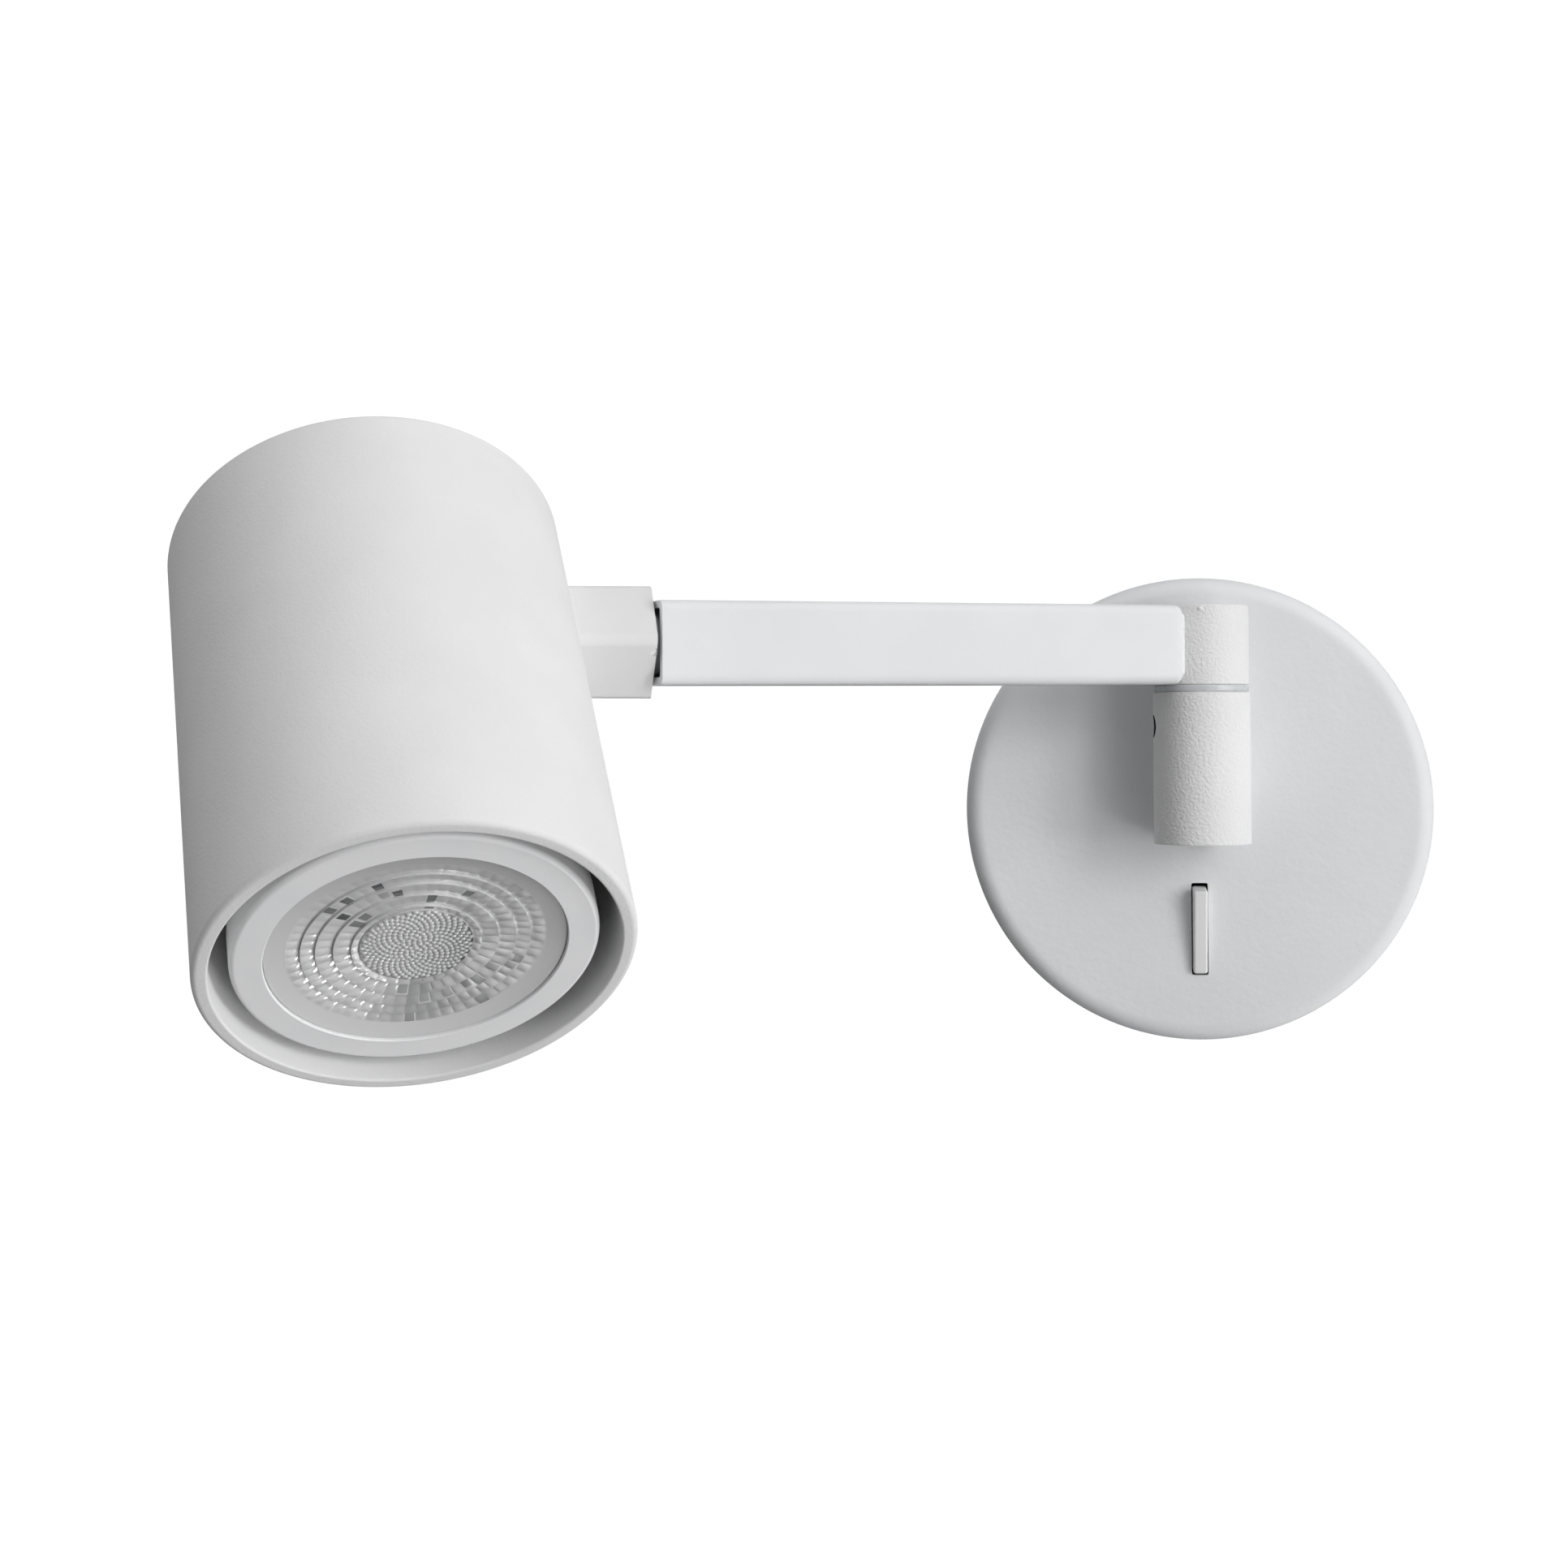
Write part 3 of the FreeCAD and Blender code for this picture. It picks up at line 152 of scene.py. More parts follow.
def arc(centre_r, centre_h, radius, start_deg, end_deg, steps):
    """Points of an arc in a half section, as (radius, height) pairs."""
    points = []
    for step in range(steps + 1):
        angle = math.radians(start_deg + (end_deg - start_deg) * step / steps)
        points.append((centre_r + radius * math.cos(angle), centre_h + radius * math.sin(angle)))
    return points


def round_side(radius, low, high, edge):
    """Side of a turned bar in a half section, with its lower and its upper edge rounded."""
    return (arc(radius - edge, low + edge, edge, -90, 0, 4)
            + arc(radius - edge, high - edge, edge, 0, 90, 4))


def lathe(name, outline, steps, closed=False):
    """Spins a half section of (radius, height) pairs, in millimetres, about Z; a ring's section is closed."""
    bpy.ops.object.select_all(action="DESELECT")
    bpy.ops.mesh.primitive_plane_add(size=MM)
    piece = bpy.context.object
    piece.name = piece.data.name = name
    bpy.ops.object.mode_set(mode="EDIT")
    bpy.ops.mesh.select_mode(type="VERT")
    bpy.ops.mesh.select_all(action="SELECT")
    bpy.ops.mesh.merge(type="CENTER")
    corners = [Vector((radius, 0, height)) * MM for radius, height in outline]
    bpy.ops.transform.translate(value=corners[0])
    for here, there in zip(corners, corners[1:]):
        bpy.ops.mesh.extrude_vertices_move(TRANSFORM_OT_translate={"value": there - here})
    if closed:
        # This also fills the section, and the spin leaves that face inside the ring at every step
        bpy.ops.mesh.select_all(action="SELECT")
        mesh = bmesh.from_edit_mesh(piece.data)
        for vert in mesh.verts:
            vert.select_set(vert.index in (0, len(corners) - 1))
        bmesh.update_edit_mesh(piece.data)
        bpy.ops.mesh.edge_face_add()
    bpy.ops.mesh.select_all(action="SELECT")
    bpy.ops.mesh.spin(steps=steps, angle=2 * math.pi, center=(0, 0, 0), axis=(0, 0, 1))
    bpy.ops.mesh.select_all(action="SELECT")
    bpy.ops.mesh.remove_doubles(threshold=DOUBLES_MM * MM)
    bpy.ops.mesh.normals_make_consistent(inside=False)
    leave()
    return piece


# %% [markdown]
# Holes, slots and studs start from plain bars and blocks, which are cut out of a piece or fused to it.
# A cutter stands out of the piece at both ends, so that no thin skin is left over the hole.

# %% Bars and blocks
# How far a cutter stands out of what it cuts
OVER = 2.0


def rod(name, radius, low, high, axis="Z", steps=64):
    """Plain bar used as a cutter or as stock; radius and ends in millimetres."""
    turn = {"X": (0, math.pi / 2, 0), "Y": (-math.pi / 2, 0, 0), "Z": (0, 0, 0)}[axis]
    bpy.ops.object.select_all(action="DESELECT")
    bpy.ops.mesh.primitive_cylinder_add(
        vertices=steps, radius=radius * MM, depth=(high - low) * MM, rotation=turn)
    bar = bpy.context.object
    bar.name = bar.data.name = name
    bpy.ops.object.transform_apply()
    way = {"X": Vector((1, 0, 0)), "Y": Vector((0, 1, 0)), "Z": Vector((0, 0, 1))}[axis]
    bar.location = way * (low + high) / 2 * MM
    return bar


def block(name, low, high):
    """Plain block between two corners, in millimetres."""
    low = Vector(low) * MM
    high = Vector(high) * MM
    bpy.ops.object.select_all(action="DESELECT")
    bpy.ops.mesh.primitive_cube_add(size=1, location=(low + high) / 2, scale=high - low)
    stock = bpy.context.object
    stock.name = stock.data.name = name
    bpy.ops.object.transform_apply()
    return stock


# %% [markdown]
# The arm, the head and the lamp are each drawn in a frame of their own and then turned into place.
# The joints give those frames: the swing axis stands in the post, the tilt axis runs along the arm,
# and the twist axis runs from the front of the lamp to its cap.

# %% Frames of the arm and the head
joints = {joint["name"]: joint for joint in frame["joints"]}


def joint_axis(name):
    """Direction of a joint's axis."""
    return Vector(joints[name]["axis"]).normalized()


def joint_place(name):
    """A point on a joint's axis, in metres."""
    return Vector(joints[name]["pos_m"])


def frame_of(across, upward, origin):
    """Matrix whose X and Z axes are the two directions given."""
    side = upward.cross(across).normalized()
    turn = Matrix((across, side, upward)).transposed().to_4x4()
    return Matrix.Translation(origin) @ turn


world_place = Matrix.Identity(4)
arm_place = frame_of(joint_axis("head_tilt"), Vector((0, 0, 1)), joint_place("arm_swing"))
head_place = frame_of(joint_axis("head_tilt"), joint_axis("lamp_twist"), joint_place("lamp_twist"))


def own_box(node, place):
    """Lowest and highest corner of a node in a piece's own frame, in millimetres."""
    back = place.inverted()
    points = [back @ vert.co / MM for vert in frame["nodes"][node].data.vertices]
    low = Vector([min(point[axis] for point in points) for axis in range(3)])
    high = Vector([max(point[axis] for point in points) for axis in range(3)])
    return low, high


def middle_of(node, axis):
    """Middle of a node along x, y or z, in millimetres."""
    low, high = own_box(node, world_place)
    return (getattr(low, axis) + getattr(high, axis)) / 2


for node, place in (("canopy", world_place), ("arm_tube", arm_place), ("head_housing", head_place)):
    print(node, [[round(c, 2) for c in corner] for corner in own_box(node, place)])

# %% [markdown]
# A finished piece sits at the origin, unturned, with its place in its mesh.
# This helper turns it into place, smooths it, lets it ride on its body and hides the node of the imported model
# that it stands for.

# %% Finishing a piece
SMOOTH_DEG = 32
# How much more a large face weighs than a small one when the normals are averaged; 50 is even
LARGE_FACES = 80


def finish(piece, place, body, node, smooth=SMOOTH_DEG, weighted=True):
    """Puts a piece in its place on a body, smooth up to an angle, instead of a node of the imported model."""
    piece.matrix_world = place @ piece.matrix_world
    settle(piece)
    bpy.ops.object.shade_smooth_by_angle(angle=math.radians(smooth))
    if weighted:
        modifier(piece, "WEIGHTED_NORMAL", keep_sharp=True, weight=LARGE_FACES)
    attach(piece, body)
    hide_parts(node)
    print(piece.name, "corners", len(piece.data.vertices), "on", body)


# %% [markdown]
# The camera stands where the photograph was taken: almost straight in front of the wall, 44 cm away.
# It was found by fitting the outlines of the canopy, the arm and the head.
# Its picture is moved down a little, because the photograph is a crop of a larger frame.

# %% Camera
CAMERA_PLACE_MM = (-27.49, -441.58, 14.85)
CAMERA_YAW_DEG = 6.013
# A camera that isn't turned looks straight down, and at 90 degrees it is level
CAMERA_LEVEL_DEG = 90
CAMERA_PITCH_DEG = 0.860
CAMERA_ROLL_DEG = 0.377
SENSOR_MM = 36.0
LENS_MM = 54.765
PICTURE_SHIFT = (-0.00145, -0.06005)
CLIP_START_MM = 10

bpy.ops.object.camera_add()
camera = bpy.context.object
camera.name = "camera"
camera.data.sensor_width = SENSOR_MM
camera.data.lens = LENS_MM
camera.data.shift_x, camera.data.shift_y = PICTURE_SHIFT
camera.data.clip_start = CLIP_START_MM * MM
yaw = Matrix.Rotation(math.radians(CAMERA_YAW_DEG), 4, "Z")
pitch = Matrix.Rotation(math.radians(CAMERA_LEVEL_DEG + CAMERA_PITCH_DEG), 4, "X")
roll = Matrix.Rotation(-math.radians(CAMERA_ROLL_DEG), 4, "Z")
camera.matrix_world = Matrix.Translation(Vector(CAMERA_PLACE_MM) * MM) @ yaw @ pitch @ roll
bpy.context.scene.camera = camera
print("camera", [round(c, 4) for c in camera.location])

# %% [markdown]
# Colours are written as they would be picked from a screen.
# Shaders count in linear light, so one function turns the hex value into that.
# The other helpers write the few things that every finish here is made of: clouds, mixed colours and relief.

# %% Colours and shader nodes
def colour(hex_value):
    """Linear RGBA of an sRGB hex colour such as E6E7E8."""
    channels = []
    for start in (0, 2, 4):
        value = int(hex_value[start:start + 2], 16) / 255
        channels.append(value / 12.92 if value <= 0.04045 else ((value + 0.055) / 1.055) ** 2.4)
    return (*channels, 1.0)


def add(owner, kind, inputs=(), **settings):
    """Adds one shader node; inputs gives sockets a value or a link from another node."""
    tree = owner.node_tree
    made = tree.nodes.new(kind)
    for name, value in settings.items():
        setattr(made, name, value)
    for name, value in dict(inputs).items():
        if isinstance(value, bpy.types.NodeSocket):
            tree.links.new(value, made.inputs[name])
        else:
            made.inputs[name].default_value = value
    return made


def blank(name):
    """New material with its Principled node, and the object coordinates for its patterns."""
    material = bpy.data.materials.new(name)
    material.use_nodes = True
    skin = material.node_tree.nodes["Principled BSDF"]
    place = add(material, "ShaderNodeTexCoord").outputs["Object"]
    return material, skin, place


def wire(material, socket, target, name):
    """Links an output to a named input."""
    material.node_tree.links.new(socket, target.inputs[name])


def per(size_mm):
    """Scale of a pattern whose features are this wide."""
    return 1 / (size_mm * MM)


def noise(material, place, size_mm, detail=2.0):
    """Cloudy pattern with features of a real width."""
    settings = {"Vector": place, "Scale": per(size_mm), "Detail": detail}
    return add(material, "ShaderNodeTexNoise", settings).outputs["Fac"]


def tint(material, amount, dark, light):
    """Mixes two hex colours by a pattern."""
    node = add(material, "ShaderNodeMix", {"Factor": amount}, data_type="RGBA")
    for socket in node.inputs:
        if socket.type == "RGBA" and socket.name == "A":
            socket.default_value = colour(dark)
        if socket.type == "RGBA" and socket.name == "B":
            socket.default_value = colour(light)
    return [out for out in node.outputs if out.type == "RGBA"][0]


def spread(material, value, low, high, start=0.3, end=0.7):
    """Stretches a pattern to a range; most of a cloudy pattern lies between 0.3 and 0.7."""
    settings = {"Value": value, "From Min": start, "From Max": end, "To Min": low, "To Max": high}
    return add(material, "ShaderNodeMapRange", settings).outputs["Result"]


def bump(material, height, depth_mm, under=None):
    """Relief of a real depth, on top of another relief if one is given."""
    settings = {"Height": height, "Distance": depth_mm * MM, "Strength": 1.0}
    if under is not None:
        settings["Normal"] = under
    return add(material, "ShaderNodeBump", settings).outputs["Normal"]


# %% [markdown]
# Every painted piece has the same matt white polyester powder coat, baked on as a dry powder.
# The powder melts into a skin with a fine sandy grain, and on small heavy pieces, which heat up slowly,
# it flows into a coarser orange peel. One function makes the coat, and each piece gets its own grain; the canopy
# and the stub also get a darker copy of it, as painted shade.

# %% Powder coat
# Each pair is the lighter and the darker shade of a faint cloudiness
NEUTRAL = ("EBEBEB", "E7E7E7")
COOL = ("E9EAEC", "E5E6E8")
# The next two are the same coat made darker: painted shade for the canopy and the stub
SHADED_COOL = ("E6E7E9", "E2E3E5")
SHADED = ("E2E2E2", "DEDEDE")
COAT_CLOUD_MM = 14.0
COAT_ROUGH_VARIES = 0.06
COAT_INDEX = 1.5
# Its matt skin mirrors less than a smooth one of the same index
COAT_GLOSS = 0.3


def powder_coat(name, shades, grain, peel, rough=0.62):
    """Matt white polyester powder coat: soft wide highlights, a dry grain and a slow orange peel.

    Grain and peel are given as their width and depth in millimetres.
    """
    coat, skin, place = blank(name)
    peel_waves = noise(coat, place, peel[0], 1.0)
    grains = noise(coat, place, grain[0], 3.0)
    cloud = noise(coat, place, COAT_CLOUD_MM, 2.0)
    relief = bump(coat, peel_waves, peel[1])
    relief = bump(coat, grains, grain[1], relief)
    wire(coat, relief, skin, "Normal")
    wire(coat, tint(coat, spread(coat, cloud, 0.0, 1.0), shades[1], shades[0]), skin, "Base Color")
    wire(coat, spread(coat, grains, rough - COAT_ROUGH_VARIES, rough + COAT_ROUGH_VARIES), skin, "Roughness")
    skin.inputs["IOR"].default_value = COAT_INDEX
    skin.inputs["Specular IOR Level"].default_value = COAT_GLOSS
    return coat


# The canopy and the stub get the darker copies of the coat, as painted shade
coat_canopy_shaded = powder_coat("powder_coat_canopy", SHADED_COOL, grain=(0.4, 0.02), peel=(1.5, 0.05))
coat_post = powder_coat("powder_coat_orange_peel", NEUTRAL, grain=(0.4, 0.035), peel=(0.5, 0.17))
coat_arm = powder_coat("powder_coat_arm", COOL, grain=(0.3, 0.006), peel=(2.2, 0.05), rough=0.55)
coat_stub_shaded = powder_coat("powder_coat_stub", SHADED, grain=(0.3, 0.006), peel=(2.2, 0.05), rough=0.55)
coat_head = powder_coat("powder_coat_sand", NEUTRAL, grain=(0.45, 0.06), peel=(1.2, 0.02), rough=0.68)
coat_rocker = powder_coat("powder_coat_rocker", NEUTRAL, grain=(0.4, 0.003), peel=(1.8, 0.02), rough=0.5)
print("coats", len([m for m in bpy.data.materials if m.name.startswith("powder_coat")]))

# %% [markdown]
# The set screw's hole was tapped after painting, so its inside is bare steel. It is coloured almost black, as
# painted shade deep inside the hole.
# The turns of its thread are drawn as a wave pattern, wider than the real ones,
# which don't show at this size.

# %% Bare thread in painted shade
THREAD_PITCH_MM = 0.7
# At a scale of 1 the waves are pi / 10 wide, so this makes them about three times as wide as the thread
THREAD_COARSER = 10
bare_thread_in_painted_shade, skin, place = blank("bare_tapped_steel")
turns = add(bare_thread_in_painted_shade, "ShaderNodeTexWave", {
    "Vector": place, "Scale": per(THREAD_PITCH_MM) / THREAD_COARSER, "Distortion": 0.4}).outputs["Fac"]
# Almost black: painted shade inside the hole, over bare steel
wire(bare_thread_in_painted_shade, tint(bare_thread_in_painted_shade, turns, "060606", "101011"), skin, "Base Color")
wire(bare_thread_in_painted_shade, spread(bare_thread_in_painted_shade, turns, 0.45, 0.6, 0.0, 1.0), skin, "Roughness")
wire(bare_thread_in_painted_shade, bump(bare_thread_in_painted_shade, turns, 0.05), skin, "Normal")
skin.inputs["Metallic"].default_value = 0.2
print("bare thread drawn", round(THREAD_PITCH_MM * THREAD_COARSER * math.pi / 10, 1), "mm wide")

# %% [markdown]
# The canopy is a cup spun from sheet steel. It is turned here from a half section with a soft front edge,
# and a hole for the stem, a slot for the switch and two holes for the lock screws are cut through it.

# %% Canopy
CANOPY_WALL = 1.2
CANOPY_EDGE_R = 3.0
CANOPY_STEPS = 192
# Two small steps break the edge that stands on the wall: how far in, and how far from the wall
CANOPY_BACK_EDGE = ((0.15, 0.1), (0.4, 0))
low, high = own_box("canopy", world_place)
canopy_r = high.x
canopy_depth = -low.y
inner_r = canopy_r - CANOPY_WALL
bend = CANOPY_EDGE_R - CANOPY_WALL

outline = [(0, canopy_depth), (canopy_r - CANOPY_EDGE_R - GUARD, canopy_depth)]
outline += arc(canopy_r - CANOPY_EDGE_R, canopy_depth - CANOPY_EDGE_R, CANOPY_EDGE_R, 90, 0, 10)
outline += [(canopy_r, GUARD)]
outline += [(canopy_r - inward, height) for inward, height in CANOPY_BACK_EDGE]
outline += [(inner_r, 0)]
outline += arc(inner_r - bend, canopy_depth - CANOPY_EDGE_R, bend, 0, 90, 6)
outline += [(0, canopy_depth - CANOPY_WALL)]
canopy = lathe("canopy_cup", outline, CANOPY_STEPS)
canopy.rotation_euler = (math.pi / 2, 0, 0)
settle(canopy)

# %% Holes of the canopy
STEM_FIT = 0.15
SLOT_SIZE = (2.8, 15.8)
SLOT_CORNER = 0.3
# The slot and its paddle sit a little higher than the pin that the paddle tips on
SLOT_RISE = 0.35
LOCK_HOLE_R = 1.8
# How far a cutter reaches in behind the canopy's front
CUT_DEPTH = 4.0
stem_high = own_box("post_stem", world_place)[1]
stem_z = middle_of("post_stem", "z")
stem_hole = rod("stem_hole", stem_high.x + STEM_FIT, -canopy_depth - OVER, -canopy_depth + CUT_DEPTH, "Y")
stem_hole.location.z += stem_z * MM
cut(canopy, stem_hole)

slot_z = joint_place("switch_rock").z / MM + SLOT_RISE
slot_cutter = block("slot_cutter", (-SLOT_SIZE[0] / 2, -canopy_depth - OVER, slot_z - SLOT_SIZE[1] / 2),
                    (SLOT_SIZE[0] / 2, -canopy_depth + CUT_DEPTH, slot_z + SLOT_SIZE[1] / 2))
round_edges(slot_cutter, lambda edge: runs_along(edge, "y"), SLOT_CORNER, 4)
cut(canopy, slot_cutter)

lock_cutter = rod("lock_cutter", LOCK_HOLE_R, -canopy_r - OVER, canopy_r + OVER, "X", 40)
lock_cutter.location.y = middle_of("canopy_set_screws", "y") * MM
cut(canopy, lock_cutter)
print("stem hole at", round(stem_z, 2), "slot at", round(slot_z, 2))

# %% Soft lip of the slot
SLOT_LIP = 0.12
SLOT_MARGIN = 0.1


def on_slot_edge(edge):
    """True for the edges where the slot opens in the canopy's front face."""
    spot = middle(edge) / MM
    near_x = abs(spot.x) < SLOT_SIZE[0] / 2 + SLOT_MARGIN
    near_z = abs(spot.z - slot_z) < SLOT_SIZE[1] / 2 + SLOT_MARGIN
    flat = all(abs(vert.co.y / MM + canopy_depth) < TOUCH for vert in edge.verts)
    return near_x and near_z and flat


print("slot edges", round_edges(canopy, on_slot_edge, SLOT_LIP, 2))
finish(canopy, world_place, "base", "canopy")
canopy.data.materials.append(coat_canopy_shaded)

# %% [markdown]
# The post is a short round bar with paint-softened ends and a boss that meets the canopy.
# It is bored from above for the pivot spindle.

# %% Post
POST_EDGE = 0.2
BORE_R = 4.05
BORE_CHAMFER = 0.3
BORE_FLOOR_GAP = 0.3
BOSS_R = 6.0
# How deep the boss starts inside the post
BOSS_SUNK = 4
low, high = own_box("pivot_post", world_place)
post_r = high.x
pivot_y = joint_place("arm_swing").y / MM
bore_floor = own_box("pivot_spindle", world_place)[0].z - BORE_FLOOR_GAP
outline = [(0, low.z)] + round_side(post_r, low.z, high.z, POST_EDGE)
outline += [(BORE_R + BORE_CHAMFER, high.z), (BORE_R, high.z - BORE_CHAMFER)]
outline += [(BORE_R, bore_floor), (0, bore_floor)]
post = lathe("pivot_post_bar", outline, ROUND_STEPS)
post.location.y = pivot_y * MM
settle(post)
boss = rod("boss", BOSS_R, pivot_y + post_r - BOSS_SUNK, high.y, "Y", 96)
boss.location.z += stem_z * MM
cut(post, boss, "UNION")

# %% [markdown]
# A small hole on the post's left side takes the set screw. Its mouth is worn a little to one side,
# so a second cutter, turned by a few degrees and ending before the bore, follows the first.
# The faces inside the hole are chosen by their place and their direction, and get the bare thread, coloured almost
# black as painted shade.

# %% Hole of the set screw
SCREW_HOLE_R = 1.95
HOLE_TURN_DEG = 2.6
# How far the hole reaches into the bore, and how far the worn mouth ends before it
HOLE_INTO_BORE = 1
WORN_BEFORE_BORE = 0.5
HOLE_MARGIN = 0.5
FACES_INWARD = 0.5
screw_z = middle_of("post_set_screw", "z")
screw_hole = rod("screw_hole", SCREW_HOLE_R, -post_r - OVER, -BORE_R + HOLE_INTO_BORE, "X", 48)
screw_hole.location.y = pivot_y * MM
screw_hole.location.z = screw_z * MM
cut(post, screw_hole)
worn_hole = rod("worn_hole", SCREW_HOLE_R, -post_r - OVER, -BORE_R - WORN_BEFORE_BORE, "X", 48)
worn_hole.location.z = screw_z * MM
settle(worn_hole)
worn_hole.rotation_euler.z = math.radians(HOLE_TURN_DEG)
worn_hole.location.y = pivot_y * MM
cut(post, worn_hole)
finish(post, world_place, "base", "pivot_post")
post.data.materials.append(coat_post)
post.data.materials.append(bare_thread_in_painted_shade)


def in_screw_hole(face):
    """True for the faces of the set screw's hole, which was tapped after painting."""
    spot = face.calc_center_median() / MM
    inward = Vector((0, pivot_y - spot.y, screw_z - spot.z)).normalized()
    near = math.hypot(spot.y - pivot_y, spot.z - screw_z) < SCREW_HOLE_R + HOLE_MARGIN
    return near and spot.x < -BORE_R and face.normal.dot(inward) > FACES_INWARD


edit(post, "FACE")
print("thread faces", choose("faces", in_screw_hole))
post.active_material_index = 1
bpy.ops.object.material_slot_assign()
leave()

# %% [markdown]
# Between post and knuckle lies a thin nylon washer. It is turned with rounded edges
# and shows as a grey, milky line.

# %% Pivot washer
WASHER_EDGE = 0.3
WASHER_HOLE_R = 4.2
low, high = own_box("pivot_washer", arm_place)
outline = [(WASHER_HOLE_R, low.z), (high.x - WASHER_EDGE, low.z)]
outline += round_side(high.x, low.z, high.z, WASHER_EDGE)
outline += [(WASHER_HOLE_R, high.z)]
washer = lathe("pivot_washer_ring", outline, ROUND_STEPS, closed=True)
finish(washer, arm_place, "base", "pivot_washer")

# %% [markdown]
# The knuckle is a round barrel as high as the arm, with a square spigot that the arm's tube is pushed over.
# The spindle enters it from below and the cable leaves through the spigot.
# A grain of dust under the paint has left a small pimple near its upper edge.

# %% Square bar
def square_bar(name, half, corner, start, end, segments=8):
    """Square bar along X with rounded long edges, in millimetres."""
    bar = block(name, (start, -half, -half), (end, half, half))
    round_edges(bar, lambda edge: runs_along(edge, "x"), corner, segments)
    return bar


# %% Knuckle
KNUCKLE_EDGE = 0.2
SPIGOT_HALF = 5.37
SPIGOT_CORNER = 0.8
SPINDLE_IN_KNUCKLE = 3.1
CABLE_ROOM_R = 3.1
PIMPLE = {"turn": 61.7, "height": 5.95, "size": 0.45, "rise": 0.26}
low, high = own_box("arm_knuckle", arm_place)
knuckle_r = high.y
half_h = high.z
spigot_end = high.x
outline = [(0, -half_h)] + round_side(knuckle_r, -half_h, half_h, KNUCKLE_EDGE) + [(0, half_h)]
knuckle = lathe("arm_knuckle_barrel", outline, ROUND_STEPS)
cut(knuckle, square_bar("spigot", SPIGOT_HALF, SPIGOT_CORNER, 0, spigot_end), "UNION")
cut(knuckle, rod("spindle_hole", BORE_R, -half_h - OVER, -half_h + SPINDLE_IN_KNUCKLE, "Z", 48))
cut(knuckle, rod("cable_way", CABLE_ROOM_R, 0, spigot_end + OVER, "X", 48))

turn = math.radians(PIMPLE["turn"])
sunk_r = knuckle_r - PIMPLE["size"] + PIMPLE["rise"]
bpy.ops.object.select_all(action="DESELECT")
bpy.ops.mesh.primitive_uv_sphere_add(segments=20, ring_count=12, radius=PIMPLE["size"] * MM)
pimple = bpy.context.object
pimple.location = Vector((sunk_r * math.cos(turn), sunk_r * math.sin(turn), PIMPLE["height"])) * MM
cut(knuckle, pimple, "UNION")
finish(knuckle, arm_place, "arm", "arm_knuckle")
knuckle.data.materials.append(coat_post)

# %% [markdown]
# The arm is a drawn square tube. A block gets four rounded long edges and becomes a bar,
# the bar's ends are rounded off, softly at the knuckle where it was ground and finely at its open end,
# and a second bar cuts the bore. Last, a bar a hair thinner than the barrel hollows its end,
# so that the tube sinks a little into the barrel, as a weld does.

# %% Arm tube
TUBE_WALL = 1.2
TUBE_CORNER = 1.6
BUTT_ROUND = 1.5
END_EDGE = 0.2
# How far a tube sinks into the round piece that it is welded to
WELD_SINK = 0.02
low, high = own_box("arm_tube", arm_place)
tube_half = high.y
arm_start, arm_end = low.x, high.x
bore_half = tube_half - TUBE_WALL


def at_end(x_mm):
    """Tells for each edge whether it lies in the plane at a place along X."""
    return lambda edge: all(abs(vert.co.x / MM - x_mm) < TOUCH for vert in edge.verts)


tube = square_bar("arm_tube_body", tube_half, TUBE_CORNER, arm_start, arm_end)
print("butt edges", round_edges(tube, at_end(arm_start), BUTT_ROUND, 6))
print("end edges", round_edges(tube, at_end(arm_end), END_EDGE, 3))
cut(tube, square_bar("arm_bore", bore_half, TUBE_CORNER - TUBE_WALL, arm_start - OVER, arm_end + OVER, 4))
cut(tube, rod("barrel_round", knuckle_r - WELD_SINK, -tube_half - OVER, tube_half + OVER, "Z", 128))
finish(tube, arm_place, "arm", "arm_tube")
tube.data.materials.append(coat_arm)

# %% [markdown]
# The stub is a short piece of the same tube, welded to the side of the head and turned a little on its axis.

# %% Head stub
STUB_CORNER = 1.5
STUB_BORE_CORNER = 0.3
STUB_SHRINK = 0.12
STUB_TURN_DEG = 3.5
low, high = own_box("head_stub", head_place)
stub_start = low.x
stub_half = high.y - STUB_SHRINK
head_r = own_box("head_housing", head_place)[1].x
stub = square_bar("head_stub_body", stub_half, STUB_CORNER, stub_start, 0)
stub.rotation_euler.x = math.radians(STUB_TURN_DEG)
settle(stub)
cut(stub, square_bar("stub_bore", high.y - TUBE_WALL, STUB_BORE_CORNER, stub_start - OVER, OVER, 4))

# %% [markdown]
# The stub's end was sawn off by hand: it leans back a little at the corner that faces the room.
# The corners of the end are moved in code, by how far each one is away from that near corner.

# %% Sawn end of the stub
STUB_RISE = 0.17
# Corners nearer than this to the end belong to it
END_REACH = 0.5
END_FLARE = 1.03
# How far the near corner lies back, and how fast the end comes out above it and below it
NEAR_BACK = 0.28
LEAN_ABOVE = 1.28
LEAN_LIMIT = 0.85
LEAN_BELOW = (0.71, 0.42)
near_way = Matrix.Rotation(math.radians(STUB_TURN_DEG), 4, "X") @ Vector((0, 1, -1)).normalized()
up_way = Vector((0, -near_way.z, near_way.y))
corner_reach = stub_half * math.sqrt(2)
for vert in stub.data.vertices:
    if vert.co.x / MM < stub_start + END_REACH:
        away = min(1.0, 1 - vert.co.dot(near_way) / MM / corner_reach)
        if vert.co.dot(up_way) > 0:
            lean = min(LEAN_LIMIT, LEAN_ABOVE * away - NEAR_BACK)
        else:
            lean = LEAN_BELOW[0] * away + LEAN_BELOW[1] * away ** 2 - NEAR_BACK
        vert.co = Vector((vert.co.x - lean * MM, vert.co.y * END_FLARE, vert.co.z * END_FLARE))
    vert.co += up_way * STUB_RISE * MM
cut(stub, rod("head_round", head_r - WELD_SINK, -head_r, head_r, "Z", 192))

# %% [markdown]
# A chip of paint is torn away at the same corner. A small block, turned out of square, takes it out.

